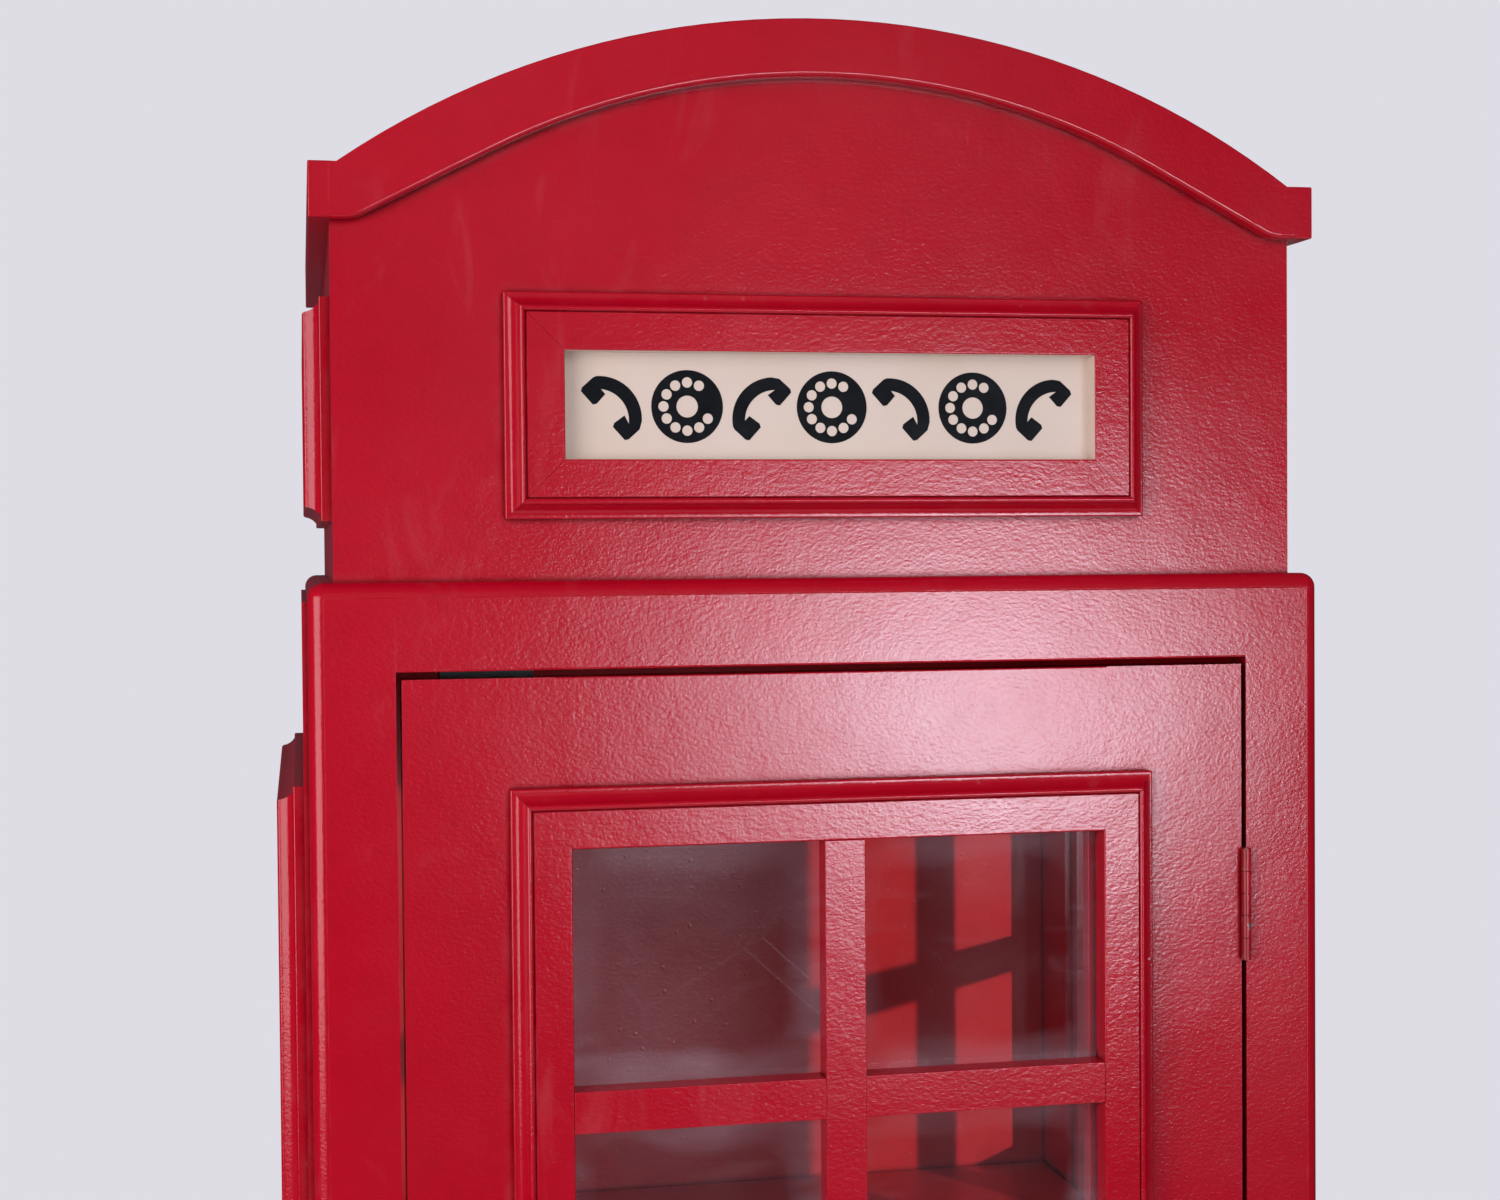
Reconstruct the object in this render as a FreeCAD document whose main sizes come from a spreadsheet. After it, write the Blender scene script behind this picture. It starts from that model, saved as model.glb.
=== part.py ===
import FreeCAD, Part
import math
import os

import Sketcher

# A display cabinet of painted wood in the shape of a telephone booth: a body with one glazed door and
# glazed sides, and a narrower head with an arched roof, a rim and three framed signs.
# The z axis points up and z = 0 is the floor. The front looks along -Y. The origin is on the floor, in
# the middle of the whole object's width and depth, the door handle included.

DIMENSIONS = {
    # body
    "body_width": 500.0,
    "body_depth": 380.0,
    "ledge_height": 1535.0,
    "plinth_height": 105.0,
    "plinth_proud": 8.0,
    "glide_height": 3.0,
    "glide_radius": 11.0,
    "side_thick": 18.0,
    "top_thick": 9.0,
    "board_thick": 18.0,
    "back_thick": 6.0,
    "back_panel_low": 52.5,
    # face frame
    "face_width": 495.0,
    "face_thick": 20.0,
    "face_stile": 39.4,
    "face_top_rail": 41.3,
    "face_bottom_rail": 22.0,
    "face_round": 7.0,
    # head, measured up from the ledge
    "head_width": 471.0,
    "head_setback": 10.6,
    "head_wall": 15.0,
    "rim_bottom": 166.2,
    "rim_height": 25.6,
    "rim_proud": 8.6,
    "rim_side": 9.5,
    "crown_height": 265.2,
    "roof_radius": 403.0,
    "roof_thick": 6.0,
    "roof_half_span": 232.0,
    "crown_board": 27.0,
    "arch_radius": 350.0,
    "arch_slope": 0.52,
    "foot_radius": 20.0,
    # mouldings, signs and panes
    "moulding_width": 27.6,
    "moulding_height": 12.0,
    "lip_width": 2.6,
    "lip_height": 5.0,
    "cove_radius": 9.0,
    "bead_outer": 6.6,
    "bead_inner": 9.4,
    "bead_radius": 1.6,
    "bead_shoulder": 0.6,
    "bead_rise": 0.6,
    "quirk_outer": 9.6,
    "slip_outer": 10.2,
    "arris_round": 0.8,
    "rebate": 6.0,
    "sight_width": 258.4,
    "sign_sight_height": 50.4,
    "sign_bottom": 28.8,
    "sign_plate_thick": 2.2,
    "pane_height": 112.5,
    "bar_width": 19.5,
    "sight_drop": 123.6,
    "glass_thick": 4.0,
    "glass_inset": 1.0,
    "glass_play": 1.5,
    "glazing_bead": 8.0,
    # door
    "door_gap": 2.6,
    "door_top_gap": 3.4,
    "door_bottom_gap": 3.0,
    "door_thick": 20.0,
    # shelves
    "top_shelf": 1139.0,
    "shelf_setback": 40.0,
    "shelf_end_gap": 2.0,
    "shelf_back_gap": 2.0,
    "pin_radius": 2.5,
    "pin_depth": 9.0,
    "pin_reach": 9.0,
    "pin_fit": 0.05,
    "pin_flange_radius": 5.0,
    "pin_flange_thick": 1.5,
    "pin_inset": 26.0,
    # hinges
    "hinge_height": 55.5,
    "hinge_inset": 119.0,
    "leaf_thick": 1.2,
    "leaf_depth": 17.5,
    "barrel_radius": 2.4,
    "barrel_stand_off": 2.5,
    "hinge_pin_radius": 1.0,
    "hinge_pin_play": 0.05,
    "barrel_gap": 0.1,
    "knuckle_gap": 0.3,
    "screw_head_radius": 2.9,
    "screw_radius": 1.6,
    "screw_length": 13.0,
    "screw_play": 0.05,
    "hole_spare": 1.0,
    "screw_setback": 10.5,
    "screw_pitch": 19.0,
    # handle, on the lock stile
    "handle_height": 900.0,
    "handle_reach": 30.0,
    "handle_radius": 4.5,
    "handle_spacing": 96.0,
    "handle_bend": 9.0,
    "handle_base_radius": 7.5,
    "handle_base_thick": 3.0,
    "handle_screw_radius": 2.0,
    "handle_screw_bite": 10.0,
    "handle_screw_head": 4.2,
    "handle_screw_head_thick": 2.4,
    # catch
    "catch_width": 44.0,
    "catch_depth": 14.0,
    "catch_height": 32.0,
    "catch_overlap": 12.0,
    "catch_from_middle": 165.0,
    "catch_play": 0.3,
    "catch_plate_width": 38.0,
    "catch_plate_thick": 1.2,
}

PANE_ROWS = 8
SHELVES = 4
HINGES = 3
KNUCKLES = 5
SCREWS_PER_LEAF = 3

NEAR = 1e-3

doc = FreeCAD.newDocument("telephone_booth")


def make_sheet():
    """The sheet of driving dimensions, one named cell a row."""
    sheet = doc.addObject("Spreadsheet::Sheet", "sizes")
    for row, (word, value) in enumerate(DIMENSIONS.items(), start=1):
        sheet.set(f"A{row}", word)
        sheet.set(f"B{row}", str(value))
        sheet.setAlias(f"B{row}", word)
    doc.recompute()
    return sheet


sheet = make_sheet()


class Size:
    """A length that knows both its value and the sheet expression that gives it."""

    def __init__(self, value, text):
        self.value = value
        self.text = text

    def __add__(self, other):
        other = as_size(other)
        return Size(self.value + other.value, f"({self.text} + {other.text})")

    def __sub__(self, other):
        other = as_size(other)
        return Size(self.value - other.value, f"({self.text} - {other.text})")

    def __mul__(self, other):
        other = as_size(other)
        return Size(self.value * other.value, f"({self.text} * {other.text})")

    def __truediv__(self, other):
        other = as_size(other)
        return Size(self.value / other.value, f"({self.text} / {other.text})")

    def __neg__(self):
        return Size(-self.value, f"(0 - {self.text})")


def as_size(number):
    """A plain number as a Size."""
    if isinstance(number, Size):
        return number
    return Size(float(number), repr(float(number)))


def root_of(size):
    """The square root of a Size."""
    return Size(math.sqrt(size.value), f"sqrt({size.text})")


def cell(word):
    """The Size held in one cell of the sheet."""
    return Size(float(sheet.get(word)), f"sizes.{word}")


def on_arc(radius, x):
    """The height of the roof's curve of a given radius, at a distance from the middle."""
    return roof_centre + root_of(radius * radius - x * x)


# Places worked out from the sheet.
front = (cell("handle_reach") - cell("body_depth")) / 2
back = front + cell("body_depth")
ledge = cell("ledge_height")
side_outer = cell("body_width") / 2
side_inner = side_outer - cell("side_thick")
side_top = ledge - cell("top_thick")
face_outer = cell("face_width") / 2
face_inner = face_outer - cell("face_stile")
face_back = front + cell("face_thick")
head_outer = cell("head_width") / 2
head_front = front + cell("head_setback")
head_middle = (head_front + back) / 2
frame_width = cell("sight_width") + cell("moulding_width") * 2
sign_height = cell("sign_sight_height") + cell("moulding_width") * 2
sign_middle = ledge + cell("sign_bottom") + sign_height / 2
sight_height = cell("pane_height") * PANE_ROWS + cell("bar_width") * (PANE_ROWS - 1)
window_height = sight_height + cell("moulding_width") * 2
hole_half_width = cell("sight_width") / 2 + cell("rebate")
hole_height = sight_height + cell("rebate") * 2
door_outer = face_inner - cell("door_gap")
door_top = ledge - cell("face_top_rail") - cell("door_top_gap")
door_bottom = cell("plinth_height") + cell("face_bottom_rail") + cell("door_bottom_gap")
door_back = front + cell("door_thick")
sight_top = ledge - cell("sight_drop")
window_middle = sight_top - sight_height / 2
roof_centre = ledge + cell("crown_height") - cell("roof_radius")
roof_under_radius = cell("roof_radius") - cell("roof_thick")
rim_bottom = ledge + cell("rim_bottom")
rim_top = rim_bottom + cell("rim_height")
floor_board_top = cell("plinth_height") + cell("face_bottom_rail")
roof_edge_x = cell("roof_half_span")
roof_edge_z = on_arc(cell("roof_radius"), roof_edge_x)
roof_seat_x = roof_edge_x * roof_under_radius / cell("roof_radius")
roof_seat_z = on_arc(roof_under_radius, roof_seat_x)
hinge_x = face_inner - cell("door_gap") / 2
hinge_y = front - cell("barrel_stand_off")
handle_x = -(door_outer + cell("sight_width") / 2 + cell("moulding_width")) / 2

# How a group drawn flat (x to the right, y up, z outwards) is turned to face a side of the cabinet.
STAND_UP = FreeCAD.Rotation(FreeCAD.Vector(1, 0, 0), 90)
FACING = {
    "front": STAND_UP,
    "left": FreeCAD.Rotation(FreeCAD.Vector(0, 0, 1), -90).multiply(STAND_UP),
    "right": FreeCAD.Rotation(FreeCAD.Vector(0, 0, 1), 90).multiply(STAND_UP),
}
ALONG_X = FreeCAD.Rotation(FreeCAD.Vector(0, 1, 0), 90)
AGAINST_X = FreeCAD.Rotation(FreeCAD.Vector(0, 1, 0), -90)
ALONG_Y = FreeCAD.Rotation(FreeCAD.Vector(1, 0, 0), -90)
PROFILE_TURN = FreeCAD.Rotation(FreeCAD.Vector(1, 1, 1), 120)

parts = []


# Helpers that make document objects.

def bind(thing, prop, size):
    """Sets a property and ties it to the sheet."""
    thing.setExpression(prop, as_size(size).text)


def place(thing, x, y, z, rotation=None):
    """Places an object, with its position tied to the sheet."""
    if rotation is not None:
        thing.Placement = FreeCAD.Placement(FreeCAD.Vector(0, 0, 0), rotation)
    bind(thing, "Placement.Base.x", x)
    bind(thing, "Placement.Base.y", y)
    bind(thing, "Placement.Base.z", z)
    return thing


def keep(thing, label):
    """Marks an object as a sub-part, under the name that its file gets."""
    thing.Label = label
    parts.append(thing)
    return thing


def box(name, low, high):
    """A box between two corners."""
    solid = doc.addObject("Part::Box", name)
    for prop, start, end in zip(("Length", "Width", "Height"), low, high):
        bind(solid, prop, as_size(end) - start)
    return place(solid, *low)


def board(name, low, high):
    """A square-edged board that is a sub-part of its own."""
    return keep(box(name + "_board", low, high), name)


def cylinder(name, radius, length, position, rotation=None):
    """A cylinder from a point, up the z axis unless turned."""
    solid = doc.addObject("Part::Cylinder", name)
    bind(solid, "Radius", radius)
    bind(solid, "Height", length)
    return place(solid, *position, rotation)


def cone(name, start_radius, end_radius, length, position, rotation):
    """A cone from a point, up the z axis unless turned."""
    solid = doc.addObject("Part::Cone", name)
    bind(solid, "Radius1", start_radius)
    bind(solid, "Radius2", end_radius)
    bind(solid, "Height", length)
    return place(solid, *position, rotation)


def fuse(name, pieces):
    """Several overlapping solids as one."""
    solid = doc.addObject("Part::MultiFuse", name)
    solid.Shapes = pieces
    return solid


def cut(name, base, tools):
    """A solid with others taken out of it."""
    solid = doc.addObject("Part::Cut", name)
    solid.Base = base
    solid.Tool = tools[0] if len(tools) == 1 else group(name + "_tools", tools)
    return solid


def group(name, pieces):
    """Several separate solids as one object."""
    solids = doc.addObject("Part::Compound", name)
    solids.Links = pieces
    return solids


def outline(sketch, corners, closed=True):
    """Draws a run of lines and arcs in a sketch and ties every corner to the sheet.

    Each corner is (x, y) where a straight run leads to the next corner, or (x, y, radius, turn) where
    an arc does: turn is 1 where the arc bulges to the right of the way round, and -1 to the left.
    """
    count = len(corners) if closed else len(corners) - 1
    ends = []
    for index in range(count):
        corner = corners[index]
        following = corners[(index + 1) % len(corners)]
        start = FreeCAD.Vector(as_size(corner[0]).value, as_size(corner[1]).value, 0)
        end = FreeCAD.Vector(as_size(following[0]).value, as_size(following[1]).value, 0)
        if len(corner) == 2:
            sketch.addGeometry(Part.LineSegment(start, end), False)
            ends.append((1, 2))
            continue
        radius = as_size(corner[2]).value
        chord = end - start
        sagitta = radius - math.sqrt(radius ** 2 - (chord.Length / 2) ** 2)
        sideways = FreeCAD.Vector(chord.y, -chord.x, 0).normalize() * corner[3]
        middle = (start + end) / 2 + sideways * sagitta
        sketch.addGeometry(Part.Arc(start, middle, end), False)
        ends.append((1, 2) if corner[3] == 1 else (2, 1))
    for index in range(count):
        following = (index + 1) % count
        if closed or following:
            sketch.addConstraint(Sketcher.Constraint(
                "Coincident", index, ends[index][1], following, ends[following][0]))
        pin_point(sketch, index, ends[index][0], corners[index][:2])
        if len(corners[index]) == 4:
            hold_radius(sketch, index, corners[index][2])
    if not closed:
        pin_point(sketch, count - 1, ends[-1][1], corners[-1][:2])


def pin_point(sketch, index, end, position):
    """Ties one end of a sketch's line or arc to a place given by the sheet."""
    for kind, size in zip(("DistanceX", "DistanceY"), position):
        size = as_size(size)
        number = sketch.addConstraint(Sketcher.Constraint(kind, -1, 1, index, end, size.value))
        sketch.setExpression(f"Constraints[{number}]", size.text)


def hold_radius(sketch, index, radius):
    """Ties the radius of a sketch's arc or circle to the sheet."""
    radius = as_size(radius)
    number = sketch.addConstraint(Sketcher.Constraint("Radius", index, radius.value))
    sketch.setExpression(f"Constraints[{number}]", radius.text)


def origin_plane(body, role):
    """One of a body's own origin planes."""
    return next(item for item in body.Origin.OriginFeatures if item.Role == role)


def padded_body(name, plane, corners, length, against_normal=False):
    """A PartDesign body: one closed outline padded to a length."""
    body = doc.addObject("PartDesign::Body", name + "_body")
    sketch = body.newObject("Sketcher::SketchObject", name + "_outline")
    sketch.AttachmentSupport = [(origin_plane(body, plane), "")]
    sketch.MapMode = "FlatFace"
    doc.recompute()
    outline(sketch, corners)
    pad = body.newObject("PartDesign::Pad", name + "_pad")
    pad.Profile = sketch
    pad.Reversed = against_normal
    bind(pad, "Length", length)
    doc.recompute()
    return body


def round_edges(body, name, radius, lines):
    """Rounds the edges of a body that lie on given lines.

    Each line is two (axis, place) pairs, such as (("y", front), ("z", top)) for an edge along x.
    """
    base = body.Tip
    names = []
    for number, edge in enumerate(base.Shape.Edges, start=1):
        for line in lines:
            if all(abs(getattr(vertex.Point, axis) - as_size(where).value) < NEAR
                   for vertex in edge.Vertexes for axis, where in line):
                names.append(f"Edge{number}")
    if len(names) != len(lines):
        raise RuntimeError(f"{name} has {len(names)} edges to round, not {len(lines)}")
    fillet = body.newObject("PartDesign::Fillet", name + "_round")
    fillet.Base = (base, names)
    bind(fillet, "Radius", radius)
    doc.recompute()
    if fillet.Shape.Volume >= base.Shape.Volume:
        raise RuntimeError(f"no edge of {name} was rounded")


def spread(count, first, last):
    """Evenly spaced places from the first to the last."""
    return [first + (last - first) * (index / (count - 1)) for index in range(count)]


# The moulding that frames the signs and windows, and what is inside it.

def moulding_profile(name, back_step):
    """The section of the moulding: x runs inwards from its outer edge and y outwards from its back.

    Outside there is a narrow lip, then a scooped cove up to a round bead, and then a wide flat slip to
    the inner edge. back_step is where the back of the strip lies over the rebate.
    """
    width = cell("moulding_width")
    slip = cell("moulding_height")
    arris = cell("arris_round")
    shoulder = slip - cell("bead_shoulder")
    bead_middle = (cell("bead_outer") + cell("bead_inner")) / 2
    sketch = doc.addObject("Sketcher::SketchObject", name)
    sketch.Placement = FreeCAD.Placement(FreeCAD.Vector(0, 0, 0), PROFILE_TURN)
    outline(sketch, [
        (0, 0),
        (width - cell("rebate"), 0),
        (width - cell("rebate"), back_step),
        (width, back_step),
        (width, slip - arris, arris, 1),
        (width - arris, slip),
        (cell("slip_outer"), slip),
        (cell("quirk_outer"), slip - arris),
        (cell("bead_inner"), shoulder, cell("bead_radius"), 1),
        (bead_middle, slip + cell("bead_rise"), cell("bead_radius"), 1),
        (cell("bead_outer"), shoulder, cell("cove_radius"), -1),
        (cell("lip_width"), cell("lip_height")),
        (arris, cell("lip_height"), arris, 1),
        (0, cell("lip_height") - arris),
    ])
    return sketch


def mitred_strip(name, profile, length, x, y, turn):
    """One strip of moulding with both ends mitred, at a place and turn in the frame's own plane."""
    run = doc.addObject("Part::Extrusion", name + "_run")
    run.Base = profile
    run.DirMode = "Custom"
    run.Dir = FreeCAD.Vector(1, 0, 0)
    run.Symmetric = True
    run.Solid = True
    bind(run, "LengthFwd", length)
    spare = 1.0
    width = cell("moulding_width")
    mitre = doc.addObject("Part::Wedge", name + "_mitre")
    bind(mitre, "Ymin", -spare)
    bind(mitre, "Ymax", width + spare)
    bind(mitre, "Xmin", -(length / 2) - spare)
    bind(mitre, "Xmax", length / 2 + spare)
    bind(mitre, "X2min", width - length / 2 + spare)
    bind(mitre, "X2max", length / 2 - width - spare)
    for low in ("Zmin", "Z2min"):
        bind(mitre, low, -(cell("glass_inset") + spare))
    for high in ("Zmax", "Z2max"):
        bind(mitre, high, cell("moulding_height") * 2)
    strip = doc.addObject("Part::Common", name)
    strip.Base = run
    strip.Tool = mitre
    return place(strip, x, y, 0, FreeCAD.Rotation(FreeCAD.Vector(0, 0, 1), turn))


def mitred_frame(label, profile, height, facing, position):
    """Four mitred strips round a rectangle, planted on one side of the cabinet."""
    half_width = frame_width / 2
    half_height = height / 2
    strips = [
        mitred_strip(label + "_low", profile, frame_width, 0, -half_height, 0),
        mitred_strip(label + "_right", profile, height, half_width, 0, 90),
        mitred_strip(label + "_high", profile, frame_width, 0, half_height, 180),
        mitred_strip(label + "_left", profile, height, -half_width, 0, 270),
    ]
    frame = group(label + "_frame", strips)
    return keep(place(frame, *position, FACING[facing]), label)


def glazing_bars(label, facing, position):
    """One upright bar and a row of short cross bars each side of it, all standing on the glass."""
    half_bar = cell("bar_width") / 2
    half_height = sight_height / 2
    glass = -cell("glass_inset")
    bars = [box(label + "_upright", (-half_bar, -half_height, glass),
                (half_bar, half_height, cell("moulding_height")))]
    pitch = cell("pane_height") + cell("bar_width")
    for row in range(1, PANE_ROWS):
        low = pitch * row - half_height - cell("bar_width")
        for column, (start, end) in enumerate((
                (-(cell("sight_width") / 2), -half_bar), (half_bar, cell("sight_width") / 2))):
            bars.append(box(f"{label}_cross_{row}_{column}", (start, low, glass),
                            (end, low + cell("bar_width"), cell("moulding_height"))))
    grid = group(label + "_grid", bars)
    return keep(place(grid, *position, FACING[facing]), label)


def glass_pane(name, facing, position):
    """One sheet of glass behind a window's moulding and bars."""
    half_width = hole_half_width - cell("glass_play")
    half_height = hole_height / 2 - cell("glass_play")
    front_face = -cell("glass_inset")
    pane = box(name + "_sheet", (-half_width, -half_height, front_face - cell("glass_thick")),
               (half_width, half_height, front_face))
    holder = group(name, [pane])
    return place(holder, *position, FACING[facing])


def glazing_beads(name, facing, position):
    """Four square beads that hold the glass from behind."""
    thick = cell("glazing_bead")
    top = -(cell("glass_inset") + cell("glass_thick"))
    low = top - thick
    half_height = hole_height / 2
    strips = [
        box(name + "_low", (-hole_half_width, -half_height, low),
            (hole_half_width, thick - half_height, top)),
        box(name + "_high", (-hole_half_width, half_height - thick, low),
            (hole_half_width, half_height, top)),
        box(name + "_left", (-hole_half_width, thick - half_height, low),
            (thick - hole_half_width, half_height - thick, top)),
        box(name + "_right", (hole_half_width - thick, thick - half_height, low),
            (hole_half_width, half_height - thick, top)),
    ]
    holder = group(name, strips)
    return place(holder, *position, FACING[facing])


# The body.

def make_plinth():
    """Three plinth boards round the foot, and the glides they stand on."""
    outer = side_outer + cell("plinth_proud")
    low = cell("glide_height")
    high = cell("plinth_height")
    board("plinth_front", (-outer, front - cell("plinth_proud"), low), (outer, face_back, high))
    board("plinth_left", (-outer, face_back, low), (-side_outer, back, high))
    board("plinth_right", (side_outer, face_back, low), (outer, back, high))
    glides = []
    for x_name, x in (("left", -side_outer + cell("side_thick") / 2),
                      ("right", side_outer - cell("side_thick") / 2)):
        for y_name, y in (("front", front + cell("face_thick") / 2),
                          ("back", back - cell("glide_radius") * 2)):
            glides.append(cylinder(f"glide_{x_name}_{y_name}", cell("glide_radius"),
                                   cell("glide_height"), (x, y, 0)))
    keep(group("glides", glides), "foot_glides")


def make_flat_boards():
    """The bottom, top and back of the body."""
    board("bottom_board", (-side_inner, face_back, floor_board_top - cell("board_thick")),
          (side_inner, back - cell("back_thick"), floor_board_top))
    top = padded_body("top_board", "XZ_Plane",
                      [(-face_outer, side_top), (face_outer, side_top), (face_outer, ledge),
                       (-face_outer, ledge)],
                      back - face_back, against_normal=True)
    round_edges(top, "top_board", cell("face_round"), [
        (("x", -face_outer), ("z", ledge)),
        (("x", face_outer), ("z", ledge)),
    ])
    keep(place(top, 0, face_back, 0), "top_board")
    board("back_panel", (-side_inner, back - cell("back_thick"), cell("back_panel_low")),
          (side_inner, back, side_top))


def shelf_tops():
    """The heights of the shelves' upper faces, from the lowest up."""
    pitch = (cell("top_shelf") - floor_board_top) / SHELVES
    return [floor_board_top + pitch * number for number in range(1, SHELVES + 1)]


def pin_rows():
    """Where the shelf pins stand along the depth: one row in the front stiles, one in the back."""
    return (face_back + cell("pin_inset"), back - cell("pin_inset"))


def pin_height(shelf_top):
    """The height of a pin's axis, so that the shelf's underside rests on the pin."""
    return shelf_top - cell("board_thick") - cell("pin_radius")


def side_stile(side, end, sign, near, far, pin_y):
    """One upright of a side frame, drilled for the shelf pins."""
    name = f"{side}_side_{end}_stile"
    inner = side_inner * sign
    outer = side_outer * sign
    low_x, high_x = (inner, outer) if sign > 0 else (outer, inner)
    blank = box(name + "_blank", (low_x, near, cell("glide_height")), (high_x, far, side_top))
    turn = ALONG_X if sign > 0 else AGAINST_X
    holes = []
    for number, shelf_top in enumerate(shelf_tops(), start=1):
        holes.append(cylinder(f"{name}_hole_{number}", cell("pin_radius") + cell("pin_fit"),
                              cell("pin_depth"), (inner, pin_y, pin_height(shelf_top)), turn))
    keep(cut(name + "_drilled", blank, holes), name)


def make_sides():
    """The two side frames, each of two stiles and two rails round a window."""
    hole_top = sight_top + cell("rebate")
    hole_bottom = hole_top - hole_height
    window_front = head_middle - hole_half_width
    window_back = head_middle + hole_half_width
    front_pins, back_pins = pin_rows()
    for side, sign in (("left", -1), ("right", 1)):
        side_stile(side, "front", sign, face_back, window_front, front_pins)
        side_stile(side, "back", sign, window_back, back, back_pins)
        low_x, high_x = (side_inner, side_outer) if sign > 0 else (-side_outer, -side_inner)
        board(f"{side}_side_top_rail", (low_x, window_front, hole_top), (high_x, window_back, side_top))
        board(f"{side}_side_bottom_rail", (low_x, window_front, cell("glide_height")),
              (high_x, window_back, hole_bottom))


def make_face_frame():
    """The frame round the door. Its outer front edges and its top edges are well rounded."""
    low = cell("plinth_height")
    for side, sign in (("left", -1), ("right", 1)):
        name = f"face_stile_{side}"
        inner = face_inner * sign
        outer = face_outer * sign
        x_first, x_last = (outer, inner) if sign < 0 else (inner, outer)
        blank = padded_body(name, "XY_Plane",
                            [(x_first, front), (x_last, front), (x_last, face_back), (x_first, face_back)],
                            ledge - low)
        rise = ledge - low
        round_edges(blank, name, cell("face_round"), [
            (("x", outer), ("y", front)),
            (("y", front), ("z", rise)),
            (("x", outer), ("z", rise)),
        ])
        place(blank, 0, 0, low)
        if side == "right":
            blank = cut(name + "_drilled", blank, screw_holes(name, face_inner, ALONG_X))
        keep(blank, name)
    rail = padded_body("face_top_rail", "YZ_Plane",
                       [(front, ledge - cell("face_top_rail")), (face_back, ledge - cell("face_top_rail")),
                        (face_back, ledge), (front, ledge)],
                       face_inner * 2)
    round_edges(rail, "face_top_rail", cell("face_round"), [(("y", front), ("z", ledge))])
    keep(place(rail, -face_inner, 0, 0), "face_top_rail")
    board("face_bottom_rail", (-face_inner, front, low), (face_inner, face_back, floor_board_top))


def make_side_windows(profile):
    """Mouldings, bars, glass and beads of the two side windows."""
    panes = []
    beads = []
    for side, sign in (("left", -1), ("right", 1)):
        position = (side_outer * sign, head_middle, window_middle)
        mitred_frame(f"{side}_window_moulding", profile, window_height, side, position)
        glazing_bars(f"{side}_window_bars", side, position)
        panes.append(glass_pane(f"{side}_pane", side, position))
        beads.append(glazing_beads(f"{side}_beads", side, position))
    keep(group("side_panes", panes), "side_window_glass")
    keep(group("side_beads", beads), "side_window_beads")


def make_shelves():
    """The shelves and the pins that they rest on."""
    pins = []
    inset = cell("shelf_end_gap")
    for number, shelf_top in enumerate(shelf_tops(), start=1):
        board(f"shelf_{number}",
              (inset - side_inner, front + cell("shelf_setback"), shelf_top - cell("board_thick")),
              (side_inner - inset, back - cell("back_thick") - cell("shelf_back_gap"), shelf_top))
        for side, sign, turn in (("left", -1, ALONG_X), ("right", 1, AGAINST_X)):
            for row, pin_y in enumerate(pin_rows()):
                name = f"pin_{number}_{side}_{row}"
                height = pin_height(shelf_top)
                start = (side_inner + cell("pin_depth")) * sign
                shaft = cylinder(name + "_shaft", cell("pin_radius"),
                                 cell("pin_depth") + cell("pin_reach"), (start, pin_y, height), turn)
                flange = cylinder(name + "_flange", cell("pin_flange_radius"),
                                  cell("pin_flange_thick"), (side_inner * sign, pin_y, height), turn)
                pins.append(fuse(name, [shaft, flange]))
    keep(group("pins", pins), "shelf_pins")


# The head.

def head_corners():
    """The outline of the head's end panels: upright sides, small shoulders and an arched top."""
    return [
        (-head_outer, ledge),
        (head_outer, ledge),
        (head_outer, rim_top),
        (roof_edge_x, roof_edge_z),
        (roof_seat_x, roof_seat_z, roof_under_radius, 1),
        (-roof_seat_x, roof_seat_z),
        (-roof_edge_x, roof_edge_z),
        (-head_outer, rim_top),
    ]


def make_head_walls():
    """The head's front, back and side panels, which carry the roof."""
    for name, start in (("head_front_panel", head_front), ("head_back_panel", back - cell("head_wall"))):
        panel = padded_body(name, "XZ_Plane", head_corners(), cell("head_wall"), against_normal=True)
        keep(place(panel, 0, start, 0), name)
    wall = cell("head_wall")
    inner = head_outer - wall
    inner_top = on_arc(roof_under_radius, inner)
    length = back - wall * 2 - head_front
    right = [(inner, ledge)] + head_corners()[1:5] + [(inner, inner_top)]
    left = [
        (-inner, ledge),
        (-inner, inner_top, roof_under_radius, 1),
        (-roof_seat_x, roof_seat_z),
        (-roof_edge_x, roof_edge_z),
        (-head_outer, rim_top),
        (-head_outer, ledge),
    ]
    for name, corners in (("head_left_panel", left), ("head_right_panel", right)):
        panel = padded_body(name, "XZ_Plane", corners, length, against_normal=True)
        keep(place(panel, 0, head_front + wall, 0), name)


def make_roof():
    """The roof: one thin bent sheet from the front of the head to its back."""
    corners = [
        (roof_seat_x, roof_seat_z),
        (roof_edge_x, roof_edge_z, cell("roof_radius"), 1),
        (-roof_edge_x, roof_edge_z),
        (-roof_seat_x, roof_seat_z, roof_under_radius, -1),
    ]
    roof = padded_body("roof_skin", "XZ_Plane", corners, back - head_front, against_normal=True)
    keep(place(roof, 0, head_front, 0), "roof_skin")


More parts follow.
